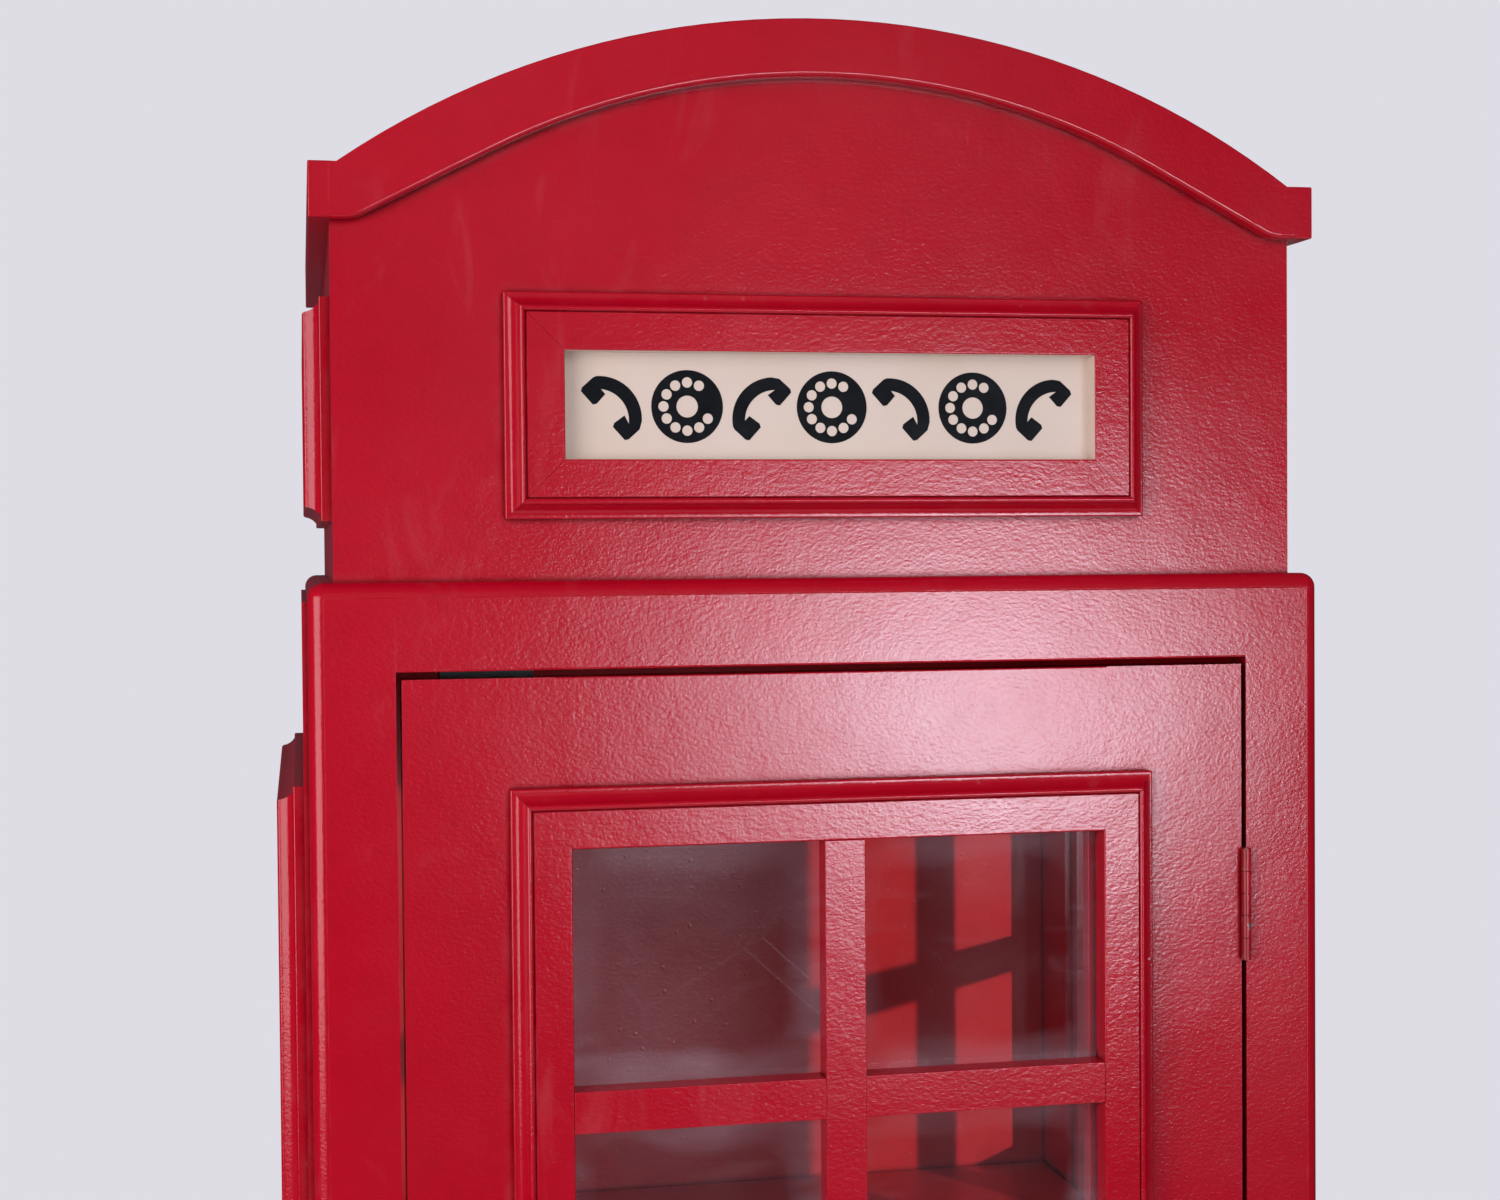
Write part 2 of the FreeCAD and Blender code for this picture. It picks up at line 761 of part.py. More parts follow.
def make_rim():
    """The rim under the roof: an arched board in front and two straight boards along the sides."""
    crown = ledge + cell("crown_height")
    arch_radius = cell("arch_radius")
    foot_radius = cell("foot_radius")
    slope = cell("arch_slope")
    # The lower edge is an arc in the middle, then a straight flank as steep as the arc's end, and then a
    # small arc at the foot that leaves the flank without a kink and ends level.
    slant = root_of(slope * slope + 1)
    arch_x = arch_radius * slope / slant
    arch_z = crown - cell("crown_board") - arch_radius + arch_radius / slant
    meet_z = rim_bottom + foot_radius - foot_radius / slant
    meet_x = arch_x + (arch_z - meet_z) / slope
    foot_x = meet_x + foot_radius * slope / slant
    corners = [
        (foot_x, rim_bottom),
        (head_outer, rim_bottom),
        (head_outer, rim_top),
        (roof_edge_x, roof_edge_z, cell("roof_radius"), 1),
        (-roof_edge_x, roof_edge_z),
        (-head_outer, rim_top),
        (-head_outer, rim_bottom),
        (-foot_x, rim_bottom, foot_radius, 1),
        (-meet_x, meet_z),
        (-arch_x, arch_z, arch_radius, -1),
        (arch_x, arch_z),
        (meet_x, meet_z, foot_radius, 1),
    ]
    arch = padded_body("arch_rim_front", "XZ_Plane", corners, cell("rim_proud"), against_normal=True)
    keep(place(arch, 0, head_front - cell("rim_proud"), 0), "arch_rim_front")
    start = head_front - cell("rim_proud")
    outer = head_outer + cell("rim_side")
    board("rim_board_left", (-outer, start, rim_bottom), (-head_outer, back, rim_top))
    board("rim_board_right", (head_outer, start, rim_bottom), (outer, back, rim_top))


def sign_plate(name, facing, position):
    """A thin plate on the head, held down all round by its moulding."""
    half_width = cell("sight_width") / 2 + cell("rebate")
    half_height = cell("sign_sight_height") / 2 + cell("rebate")
    plate = box(name + "_sheet", (-half_width, -half_height, 0),
                (half_width, half_height, cell("sign_plate_thick")))
    holder = group(name, [plate])
    return place(holder, *position, FACING[facing])


def make_signs(profile):
    """The three framed signs on the head."""
    front_place = (0, head_front, sign_middle)
    mitred_frame("front_sign_moulding", profile, sign_height, "front", front_place)
    keep(sign_plate("front_plate", "front", front_place), "front_sign_plate")
    plates = []
    for side, sign in (("left", -1), ("right", 1)):
        position = (head_outer * sign, head_middle, sign_middle)
        mitred_frame(f"{side}_sign_moulding", profile, sign_height, side, position)
        plates.append(sign_plate(f"{side}_plate", side, position))
    keep(group("side_plates", plates), "side_sign_plates")


# The door and its hinges.

def hinge_middles():
    """The heights of the middles of the hinges, from the lowest up."""
    return spread(HINGES, door_bottom + cell("hinge_inset"), door_top - cell("hinge_inset"))


def screw_places():
    """Where each hinge screw goes in: (name, y, z)."""
    places = []
    screw_y = hinge_y + cell("screw_setback")
    for hinge, middle in enumerate(hinge_middles(), start=1):
        for number in range(SCREWS_PER_LEAF):
            offset = cell("screw_pitch") * (number - (SCREWS_PER_LEAF - 1) / 2)
            places.append((f"{hinge}_{number}", screw_y, middle + offset))
    return places


def screw_holes(name, face_x, turn):
    """Pilot holes for the hinge screws in the edge of a stile."""
    return [cylinder(f"{name}_pilot_{tag}", cell("screw_radius") + cell("screw_play"),
                     cell("screw_length") + cell("hole_spare"), (face_x, y, z), turn)
            for tag, y, z in screw_places()]


def hinge_screws(label, leaf_face, sign, turn):
    """Countersunk screws through one side's leaves, heads level with the leaf."""
    screws = []
    for tag, y, z in screw_places():
        name = f"{label}_{tag}"
        head = cone(name + "_head", cell("screw_head_radius"), cell("screw_radius"),
                    cell("leaf_thick"), (leaf_face, y, z), turn)
        shank = cylinder(name + "_shank", cell("screw_radius"), cell("screw_length"),
                         (leaf_face + cell("leaf_thick") * sign, y, z), turn)
        screws.append(fuse(name, [head, shank]))
    keep(group(label + "_set", screws), label)


def hinge_leaf(name, middle, sign, turn, first_knuckle):
    """One leaf: a plate in the door gap, and every second knuckle of the barrel in front of it."""
    knuckle = cell("hinge_height") / KNUCKLES
    low = middle - cell("hinge_height") / 2
    plate_inner = hinge_x + (cell("door_gap") / 2 - cell("leaf_thick")) * sign
    plate_outer = hinge_x + cell("door_gap") / 2 * sign
    x_first, x_last = (plate_inner, plate_outer) if sign > 0 else (plate_outer, plate_inner)
    clear = cell("barrel_stand_off") + cell("barrel_gap")
    solids = [box(name + "_plate", (x_first, hinge_y + clear, low),
                  (x_last, hinge_y + clear + cell("leaf_depth"), low + cell("hinge_height")))]
    for number in range(first_knuckle, KNUCKLES, 2):
        start = low + knuckle * number + cell("knuckle_gap") / 2
        height = knuckle - cell("knuckle_gap")
        solids.append(cylinder(f"{name}_knuckle_{number}", cell("barrel_radius"), height,
                               (hinge_x, hinge_y, start)))
        solids.append(box(f"{name}_neck_{number}", (x_first, hinge_y, start),
                          (x_last, hinge_y + clear, start + height)))
    tools = [cylinder(name + "_bore", cell("hinge_pin_radius") + cell("hinge_pin_play"),
                      cell("hinge_height"), (hinge_x, hinge_y, low))]
    for tag, y, z in screw_places():
        if abs(z.value - middle.value) < cell("hinge_height").value:
            tools.append(cone(f"{name}_sink_{tag}", cell("screw_head_radius") + cell("screw_play"),
                              cell("screw_radius") + cell("screw_play"), cell("leaf_thick"),
                              (plate_inner, y, z), turn))
    return cut(name, fuse(name + "_blank", solids), tools)


def make_hinges():
    """Three butt hinges: frame leaves and pins on the carcass, door leaves on the door."""
    frame_leaves = []
    door_leaves = []
    pins = []
    for number, middle in enumerate(hinge_middles(), start=1):
        frame_leaves.append(hinge_leaf(f"frame_leaf_{number}", middle, 1, ALONG_X, 0))
        door_leaves.append(hinge_leaf(f"door_leaf_{number}", middle, -1, AGAINST_X, 1))
        pins.append(cylinder(f"hinge_pin_{number}", cell("hinge_pin_radius"), cell("hinge_height"),
                             (hinge_x, hinge_y, middle - cell("hinge_height") / 2)))
    keep(group("frame_leaves", frame_leaves), "hinge_frame_leaves")
    keep(group("door_leaves", door_leaves), "hinge_door_leaves")
    keep(group("hinge_pin_set", pins), "hinge_pins")
    leaf_step = cell("door_gap") / 2 - cell("leaf_thick")
    hinge_screws("hinge_frame_screws", hinge_x + leaf_step, 1, ALONG_X)
    hinge_screws("hinge_door_screws", hinge_x - leaf_step, -1, AGAINST_X)


def handle_ends():
    """The heights of the handle's two feet."""
    half = cell("handle_spacing") / 2
    return (("low", cell("handle_height") - half), ("high", cell("handle_height") + half))


def make_door_frame():
    """The door's two stiles and two rails round its window."""
    hole_top = sight_top + cell("rebate")
    hole_bottom = hole_top - hole_height
    blank = box("lock_stile_blank", (-door_outer, front, door_bottom),
                (-hole_half_width, door_back, door_top))
    holes = [cylinder(f"handle_hole_{end}", cell("handle_screw_radius") + cell("screw_play"),
                      cell("door_thick"), (handle_x, front, z), ALONG_Y) for end, z in handle_ends()]
    recess = box("catch_plate_recess", *catch_plate_corners())
    keep(cut("lock_stile_drilled", blank, holes + [recess]), "door_lock_stile")
    blank = box("hinge_stile_blank", (hole_half_width, front, door_bottom),
                (door_outer, door_back, door_top))
    keep(cut("hinge_stile_drilled", blank, screw_holes("hinge_stile", door_outer, AGAINST_X)),
         "door_hinge_stile")
    board("door_top_rail", (-hole_half_width, front, hole_top), (hole_half_width, door_back, door_top))
    board("door_bottom_rail", (-hole_half_width, front, door_bottom),
          (hole_half_width, door_back, hole_bottom))


def make_door_window(profile):
    """Moulding, bars, glass and beads of the door's window."""
    position = (0, front, window_middle)
    mitred_frame("door_moulding", profile, window_height, "front", position)
    glazing_bars("door_glazing_bars", "front", position)
    keep(glass_pane("door_pane", "front", position), "door_glass")
    keep(glazing_beads("door_beads", "front", position), "door_glazing_beads")


def make_handle():
    """A round bar bent into a pull, with a small round base at each foot, and its two screws."""
    reach = cell("handle_reach") - cell("handle_radius")
    bend = cell("handle_bend")
    half = cell("handle_spacing") / 2
    body = doc.addObject("PartDesign::Body", "door_handle_body")
    path = body.newObject("Sketcher::SketchObject", "handle_path")
    path.AttachmentSupport = [(origin_plane(body, "YZ_Plane"), "")]
    path.MapMode = "FlatFace"
    section = body.newObject("Sketcher::SketchObject", "handle_section")
    section.AttachmentSupport = [(origin_plane(body, "XZ_Plane"), "")]
    section.MapMode = "FlatFace"
    doc.recompute()
    corners = [
        (0, -half),
        (bend - reach, -half, bend, -1),
        (-reach, bend - half),
        (-reach, half - bend, bend, -1),
        (bend - reach, half),
        (0, half),
    ]
    outline(path, corners, closed=False)
    radius = cell("handle_radius")
    foot = FreeCAD.Vector(0, -half.value, 0)
    section.addGeometry(Part.Circle(foot, FreeCAD.Vector(0, 0, 1), radius.value), False)
    hold_radius(section, 0, radius)
    pin_point(section, 0, 3, (0, -half))
    pipe = body.newObject("PartDesign::AdditivePipe", "handle_bar")
    pipe.Profile = section
    pipe.Spine = (path, [f"Edge{edge}" for edge in range(1, len(corners))])
    doc.recompute()
    place(body, handle_x, front, cell("handle_height"))
    bases = [cylinder(f"handle_base_{end}", cell("handle_base_radius"), cell("handle_base_thick"),
                      (handle_x, front - cell("handle_base_thick"), z), ALONG_Y)
             for end, z in handle_ends()]
    bores = [cylinder(f"handle_bore_{end}", cell("handle_screw_radius") + cell("screw_play"),
                      cell("handle_screw_bite") + cell("hole_spare"),
                      (handle_x, front - cell("handle_screw_bite") - cell("hole_spare"), z), ALONG_Y)
             for end, z in handle_ends()]
    keep(cut("handle_drilled", fuse("handle_blank", [body] + bases), bores), "door_handle")
    screws = []
    for end, z in handle_ends():
        shank = cylinder(f"handle_screw_{end}_shank", cell("handle_screw_radius"),
                         cell("door_thick") + cell("handle_screw_bite"),
                         (handle_x, front - cell("handle_screw_bite"), z), ALONG_Y)
        head = cylinder(f"handle_screw_{end}_head", cell("handle_screw_head"),
                        cell("handle_screw_head_thick"), (handle_x, door_back, z), ALONG_Y)
        screws.append(fuse(f"handle_screw_{end}", [shank, head]))
    keep(group("handle_screw_set", screws), "handle_screws")


def catch_plate_corners():
    """The corners of the catch's steel plate, let into the back of the lock stile's top."""
    middle = -cell("catch_from_middle")
    half = cell("catch_plate_width") / 2
    return ((middle - half, door_back - cell("catch_plate_thick"), door_top - cell("catch_overlap")),
            (middle + half, door_back, door_top))


def make_catch():
    """A magnetic catch behind the face frame's top rail, and its plate on the door."""
    middle = -cell("catch_from_middle")
    half = cell("catch_width") / 2
    behind = door_back + cell("catch_depth")
    low = door_top - cell("catch_overlap")
    split = door_top + cell("door_top_gap")
    holder = box("catch_holder", (middle - half, face_back, split),
                 (middle + half, behind, low + cell("catch_height")))
    magnet = box("catch_magnet", (middle - half, door_back + cell("catch_play"), low),
                 (middle + half, behind, split))
    keep(fuse("catch_block", [holder, magnet]), "magnet_catch")
    keep(box("catch_plate_sheet", *catch_plate_corners()), "catch_plate")


def build():
    """Builds every sub-part."""
    window_profile = moulding_profile("window_moulding_profile", -cell("glass_inset"))
    sign_profile = moulding_profile("sign_moulding_profile", cell("sign_plate_thick"))
    make_plinth()
    make_flat_boards()
    make_sides()
    make_face_frame()
    make_side_windows(window_profile)
    make_shelves()
    make_head_walls()
    make_roof()
    make_rim()
    make_signs(sign_profile)
    make_door_frame()
    make_door_window(window_profile)
    make_handle()
    make_catch()
    make_hinges()
    doc.recompute()


def check_and_write():
    """Stops on any failed object or bad shape, and then writes one file a sub-part."""
    for thing in doc.Objects:
        if "Invalid" in thing.State or "Error" in thing.State:
            raise RuntimeError(f"{thing.Name} failed: {thing.State}")
    os.makedirs("parts", exist_ok=True)
    for thing in parts:
        shape = thing.Shape
        if shape.isNull() or not shape.isValid() or not shape.Solids:
            raise RuntimeError(f"{thing.Label} has no valid solid")
        shape.exportStep(f"parts/{thing.Label}.step")
        print(f"{thing.Label}: {len(shape.Solids)} solids, {shape.Volume / 1000:.1f} cm3")
    print(len(parts), "sub-parts")


build()
check_and_write()
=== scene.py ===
"""Looks, light and camera of the telephone booth cabinet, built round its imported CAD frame.

Everything is in metres in the frame of the part: the floor is z = 0, the front faces -Y and +X is to the
right of somebody who looks at the front.
"""

import math

import bmesh
import bpy
from mathutils import Matrix, Vector
from mathutils.bvhtree import BVHTree


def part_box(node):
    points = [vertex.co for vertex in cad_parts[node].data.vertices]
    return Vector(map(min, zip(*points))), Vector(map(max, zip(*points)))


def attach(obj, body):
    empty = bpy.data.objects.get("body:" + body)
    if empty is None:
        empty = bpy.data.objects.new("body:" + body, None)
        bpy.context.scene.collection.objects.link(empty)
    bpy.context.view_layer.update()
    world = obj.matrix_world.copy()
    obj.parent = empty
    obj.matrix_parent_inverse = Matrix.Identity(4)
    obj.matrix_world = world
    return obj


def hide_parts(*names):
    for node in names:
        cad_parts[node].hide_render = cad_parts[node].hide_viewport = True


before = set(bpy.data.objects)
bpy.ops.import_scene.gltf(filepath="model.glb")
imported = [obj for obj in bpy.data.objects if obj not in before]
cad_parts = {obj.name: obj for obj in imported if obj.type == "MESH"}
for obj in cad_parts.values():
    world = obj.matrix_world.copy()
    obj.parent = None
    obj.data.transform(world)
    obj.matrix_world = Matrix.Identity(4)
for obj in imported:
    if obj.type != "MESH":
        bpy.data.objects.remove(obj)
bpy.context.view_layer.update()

MM = 0.001
CABINET, DOOR = "cabinet", "door"
PANE_PITCH = (138.95 * MM, 132.0 * MM)    # the panes of every window repeat at this distance, across and up

BOARD_ROUNDING = 0.7 * MM      # the free arrises of the boards
ARCH_ROUNDING = 2.0 * MM       # the lower front arris of the arch board
BAR_ROUNDING = 0.35 * MM
GROOVE_WIDTH = 0.30 * MM       # the fine line beside the rounded edge of the face frame, each way
GROOVE_DEPTH = 0.22 * MM
MITRE_GAP = 0.09 * MM          # what each strip of a moulding lacks at its ends
INK_RAISED = 0.07 * MM         # from the plate to the middle of the ink
INK_HALF = 0.06 * MM           # half the thickness of the ink
WELD = 0.002 * MM              # corners nearer to each other than this are one corner

# The red paint is on almost everything, so its tones come first. All colours are linear.
RED = (0.49, 0.0012, 0.016)
RED_DEEP = (0.34, 0.0008, 0.009)
RED_WORN = (0.60, 0.050, 0.060)        # thin on an arris
RED_SHADE_AND_CHIPS = (0.075, 0.0005, 0.0015)      # painted shade deep in joints and gaps, also the colour of dark chips
RED_DUSTY = (0.56, 0.10, 0.12)
RED_INSIDE = (0.50, 0.024, 0.032)
RED_HINGE_SHADE = (0.25, 0.0002, 0.003)      # painted shade on the left of a hinge barrel
PAINT_IOR = 1.5


# ---------------------------------------------------------------- camera, light and stage


CAMERA_ACROSS = -0.250      # in line with the left side of the cabinet
CAMERA_AWAY = 1.012         # in front of the face frame
CAMERA_HEIGHT = 1.549       # at the height of the ledge
CAMERA_TURN_RIGHT = math.radians(11.59)
CAMERA_TILT_UP = math.radians(-1.33)
CAMERA_ROLL = math.radians(-0.459)
SENSOR_WIDTH, FOCAL_LENGTH = 36.0, 52.52    # in millimetres


def make_camera():
    """The camera at the viewing angle of the photograph."""
    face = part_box("face_stile_left")[0]
    place = Vector((CAMERA_ACROSS, face.y - CAMERA_AWAY, CAMERA_HEIGHT))
    data = bpy.data.cameras.new("photo_camera")
    data.sensor_width = SENSOR_WIDTH
    data.lens = FOCAL_LENGTH
    data.clip_start = 0.05
    camera = bpy.data.objects.new("photo_camera", data)
    turned = Matrix.Rotation(-CAMERA_TURN_RIGHT, 4, "Z")
    tilted = Matrix.Rotation(math.pi / 2 + CAMERA_TILT_UP, 4, "X")
    rolled = Matrix.Rotation(CAMERA_ROLL, 4, "Z")
    camera.matrix_world = Matrix.Translation(place) @ turned @ tilted @ rolled
    bpy.context.scene.collection.objects.link(camera)
    bpy.context.scene.camera = camera


LIT_POINT = Vector((0.0, -0.175, 1.25))    # every soft lamp faces this point of the front
WINDOW_LIGHT = (0.76, 0.87, 1.0)
ROOM_LIGHT = (1.0, 1.0, 1.0)
# the window glow as ellipses inside each other, so that it fades out towards its rim: place, size, radiance
GLOW_STEPS = [
    ((0.76, -2.50, 1.31), (1.08, 0.86), 3.3),
    ((0.78, -2.50, 1.31), (0.80, 0.60), 4.2),
    ((0.84, -2.50, 1.28), (0.52, 0.42), 6.2),
    ((0.86, -2.50, 1.25), (0.34, 0.25), 3.4),
]


def soft_box(name, place, size, radiance, colour=ROOM_LIGHT):
    """A rectangular lamp that faces the lit point. Its power follows from its area and radiance."""
    data = bpy.data.lights.new(name, "AREA")
    data.shape = "RECTANGLE"
    data.size, data.size_y = size
    data.energy = radiance * math.pi * size[0] * size[1]
    data.color = colour
    lamp = bpy.data.objects.new(name, data)
    lamp.location = place
    lamp.rotation_euler = (LIT_POINT - Vector(place)).to_track_quat("-Z", "Y").to_euler()
    lamp.visible_camera = False
    bpy.context.scene.collection.objects.link(lamp)
    return lamp


def lamp_group(name, pieces, state):
    """A collection for light linking that includes or excludes these pieces."""
    group = bpy.data.collections.new(name)
    for piece in pieces:
        group.objects.link(piece)
    for entry in group.collection_objects:
        entry.light_linking.link_state = state
    return group


def make_lights():
    """A window to the right of the camera and one far left, both seen only as gloss, and broad fills."""
    panes = [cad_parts[name] for name in ("door_glass", "side_window_glass")]
    not_panes = lamp_group("all_but_panes", panes, "EXCLUDE")
    for step, (place, size, radiance) in enumerate(GLOW_STEPS):
        glow = soft_box(f"window_glow_{step}", place, size, radiance, WINDOW_LIGHT)
        glow.data.shape = "ELLIPSE"
        glow.visible_diffuse = False
        glow.light_linking.receiver_collection = not_panes
    left = soft_box("left_window", (-1.70, -1.62, 1.45), (1.75, 1.3), 3.6, (0.95, 0.95, 1.0))
    left.visible_diffuse = False
    fill = soft_box("left_fill", (-1.05, -1.10, 1.50), (0.8, 0.8), 5.3)
    fill.visible_glossy = False
    top = soft_box("top_fill", (0.3, -2.3, 2.5), (1.4, 1.4), 1.9)
    top.visible_glossy = False
    soft_box("back_fill", (0.9, 2.6, 2.1), (1.2, 1.4), 1.6)


def make_side_sun(inner_pieces):
    """Low light that comes in through the right side window and reaches only what is inside."""
    data = bpy.data.lights.new("side_sun", "POINT")
    data.energy = 84.0
    data.shadow_soft_size = 0.012
    data.color = (1.0, 0.86, 0.74)
    sun = bpy.data.objects.new("side_sun", data)
    sun.location = (0.864, -1.09, 1.43)
    sun.visible_camera = False
    sun.visible_glossy = False
    bpy.context.scene.collection.objects.link(sun)
    sun.light_linking.receiver_collection = lamp_group("inside", inner_pieces, "INCLUDE")


def background(tree, colour, strength=1.0):
    """An even sky."""
    node = tree.nodes.new("ShaderNodeBackground")
    node.inputs["Color"].default_value = (*colour, 1)
    node.inputs["Strength"].default_value = strength
    return node


def choose(tree, chooser, otherwise, chosen):
    """A sky that is chosen where chooser is 1, and otherwise where it is 0."""
    mix = tree.nodes.new("ShaderNodeMixShader")
    tree.links.new(chooser, mix.inputs[0])
    tree.links.new(otherwise.outputs[0], mix.inputs[1])
    tree.links.new(chosen.outputs[0], mix.inputs[2])
    return mix


def mirrored_room(tree):
    """What gloss mirrors of the room: dim, and a little less so straight behind the cabinet."""
    direction = tree.nodes.new("ShaderNodeTexCoord")
    axes = tree.nodes.new("ShaderNodeSeparateXYZ")
    tree.links.new(direction.outputs["Generated"], axes.inputs[0])
    fade = tree.nodes.new("ShaderNodeValToRGB")
    aside, behind = fade.color_ramp.elements
    aside.position, aside.color = 0.72, (0.02, 0.02, 0.022, 1)
    behind.position, behind.color = 0.95, (0.060, 0.035, 0.045, 1)
    tree.links.new(axes.outputs["Y"], fade.inputs[0])
    mirrored = tree.nodes.new("ShaderNodeBackground")
    tree.links.new(fade.outputs["Color"], mirrored.inputs["Color"])
    return mirrored


def make_world():
    """A pale room: plain behind the object, even for diffuse light, and dim in reflections."""
    world = bpy.data.worlds.new("pale_room")
    bpy.context.scene.world = world
    world.use_nodes = True
    tree = world.node_tree
    tree.nodes.clear()
    backdrop = background(tree, (0.73, 0.72, 0.78))
    ambient = background(tree, (0.97, 0.97, 1.0), 0.43)
    path = tree.nodes.new("ShaderNodeLightPath")
    lit = choose(tree, path.outputs["Is Glossy Ray"], ambient, mirrored_room(tree))
    seen = choose(tree, path.outputs["Is Camera Ray"], lit, backdrop)
    output = tree.nodes.new("ShaderNodeOutputWorld")
    tree.links.new(seen.outputs[0], output.inputs["Surface"])


# ---------------------------------------------------------------- shader shorthand


class Shader:
    """Shorthand for writing one material's node tree. alone keeps other objects out of its crevices."""

    def __init__(self, name, alone=False):
        self.alone = alone
        self.material = bpy.data.materials.new(name)
        self.material.use_nodes = True
        self.tree = self.material.node_tree
        self.tree.nodes.clear()
        self.place = self.add("TexCoord").outputs["Object"]

    def add(self, kind, settings=None, inputs=None):
        """A new node. settings are its properties, and inputs are values or sockets by name or number."""
        node = self.tree.nodes.new("ShaderNode" + kind)
        for key, value in (settings or {}).items():
            setattr(node, key, value)
        for key, value in (inputs or {}).items():
            self.feed(node.inputs[key], value)
        return node

    def feed(self, socket, value):
        """Links a socket, or sets a constant, with an alpha of one added to a colour."""
        if isinstance(value, bpy.types.NodeSocket):
            self.tree.links.new(value, socket)
        elif socket.type == "RGBA" and len(value) == 3:
            socket.default_value = (*value, 1.0)
        else:
            socket.default_value = value

    def math(self, operation, first, second=0.0, clamp=False):
        """One Math node's output."""
        settings = {"operation": operation, "use_clamp": clamp}
        return self.add("Math", settings, {0: first, 1: second}).outputs[0]

    def times(self, first, second):
        """The product of two numbers."""
        return self.math("MULTIPLY", first, second)

    def blend(self, share, first, second):
        """A mix of two colours: first at a share of 0, and second at 1."""
        node = self.add("Mix", {"data_type": "RGBA", "clamp_factor": True})
        for key, value in ((0, share), (6, first), (7, second)):
            self.feed(node.inputs[key], value)
        return node.outputs[2]

    def remap(self, value, low, high, to_low=0.0, to_high=1.0):
        """Value carried from one range to another, and held inside it."""
        node = self.add("MapRange", {"clamp": True})
        for key, number in enumerate((value, low, high, to_low, to_high)):
            self.feed(node.inputs[key], number)
        return node.outputs[0]

    def stretched(self, scale, shift=(0, 0, 0)):
        """Object coordinates, scaled axis by axis."""
        inputs = {"Vector": self.place, "Scale": scale, "Location": shift}
        return self.add("Mapping", None, inputs).outputs[0]

    def noise(self, scale, detail=3.0, rough=0.5, where=None, distortion=0.0):
        """Smooth noise from 0 to 1. scale is the number of blobs in a metre."""
        inputs = {"Vector": where or self.place, "Scale": scale, "Detail": detail,
                  "Roughness": rough, "Distortion": distortion}
        return self.add("TexNoise", None, inputs).outputs["Fac"]

    def cells(self, scale, feature="F1"):
        """A Voronoi node, for specks, nibs and scratches."""
        return self.add("TexVoronoi", {"feature": feature}, {"Vector": self.place, "Scale": scale})

    def of_cell(self, cells, channel):
        """A number from 0 to 1 that is drawn once for each cell. The channels 0 to 2 are independent."""
        return self.add("SeparateColor", None, {0: cells.outputs["Color"]}).outputs[channel]

    def bump(self, height, depth, normal=None):
        """A bump of that depth in metres, on top of another normal."""
        inputs = {"Height": height, "Distance": depth}
        if normal is not None:
            inputs["Normal"] = normal
        return self.add("Bump", None, inputs).outputs[0]

    def edges(self, radius):
        """From 0 on a flat face to about 1 on an arris, within radius of it."""
        rounded = self.add("Bevel", {"samples": 4}, {"Radius": radius}).outputs[0]
        flat = self.add("NewGeometry").outputs["Normal"]
        turn = self.add("VectorMath", {"operation": "DOT_PRODUCT"}, {0: rounded, 1: flat})
        return self.remap(turn.outputs["Value"], 0.995, 0.80)

    def openness(self, reach):
        """From 1 in the open, through about a half in a square corner, to 0 deep in a gap."""
        settings = {"samples": 6, "only_local": self.alone}
        return self.add("AmbientOcclusion", settings, {"Distance": reach}).outputs["AO"]

    def crevices(self, reach, open_share=0.85, deep_share=0.25):
        """From 0 in the open to 1 deep in a corner or gap."""
        return self.remap(self.openness(reach), open_share, deep_share)

    def finish(self, shader):
        """Links the last shader to the output and gives the material."""
        output = self.add("OutputMaterial")
        self.tree.links.new(shader.outputs[0], output.inputs["Surface"])
        return self.material


# ---------------------------------------------------------------- materials

# how brush lines are stretched, by the way that the brush went: lines in a metre along X, Y and Z
GRAIN = {
    "rolled": (170, 170, 170),
    "x": (14, 520, 520),
    "y": (520, 14, 520),
    "z": (520, 520, 14),
}


def brushed_tones(s, red, lines):
    """The paint's own tones: slow patches, small mottles and brush lines."""
    patches = s.noise(7.0, 4.0, 0.55, distortion=0.6)
    colour = s.blend(s.remap(patches, 0.35, 0.70, 0.0, 0.28), red, RED_DEEP)
    mottles = s.noise(75.0, 4.0, 0.6)
    colour = s.blend(s.remap(mottles, 0.45, 0.75, 0.0, 0.22), colour, RED_DEEP)
    return s.blend(s.remap(lines, 0.45, 0.75, 0.0, 0.10), colour, RED_DEEP)


def dust_and_joint_shade(s, colour, corner):
    """Dust beside the joints, and painted shade as a dark line in each. corner is the openness close to the
    surface.
    """
    uneven = s.remap(s.noise(45.0, 4.0, 0.6), 0.38, 0.62)
    dusty = s.times(s.remap(corner, 0.92, 0.66), uneven)
    colour = s.blend(s.times(dusty, 0.20), colour, RED_DUSTY)
    # painted shade: darker deep in each joint, where the openness is low
    return s.blend(s.remap(corner, 0.66, 0.57, 0.0, 0.75), colour, RED_SHADE_AND_CHIPS)


def dark_chips(s, colour):
    """A few small dark chips."""
    speck = s.cells(26.0)
    near = s.remap(speck.outputs["Distance"], 0.055, 0.035)
    few = s.remap(s.of_cell(speck, 0), 0.90, 0.92)
    return s.blend(s.times(near, s.times(few, 0.55)), colour, RED_SHADE_AND_CHIPS)


def wiped_marks(s, colour, wear):
    """Level scuffs in some places, and tall faint smudges."""
    scuff_lines = s.noise(1.0, 2.0, 0.5, s.stretched((16, 16, 240), (3, 1, 4)), distortion=1.2)
    scuff_where = s.remap(s.noise(4.0, 2.0, 0.5), 0.58, 0.70)
    scuffs = s.times(s.remap(scuff_lines, 0.70, 0.78), scuff_where)
    smudge_lines = s.noise(1.0, 4.0, 0.6, s.stretched((26, 26, 9), (7, 2, 5)), distortion=1.5)
    smudges = s.remap(smudge_lines, 0.60, 0.74)
    pale = s.math("MAXIMUM", s.times(scuffs, 0.18), s.times(smudges, 0.14 * wear))
    return s.blend(pale, colour, RED_DUSTY)


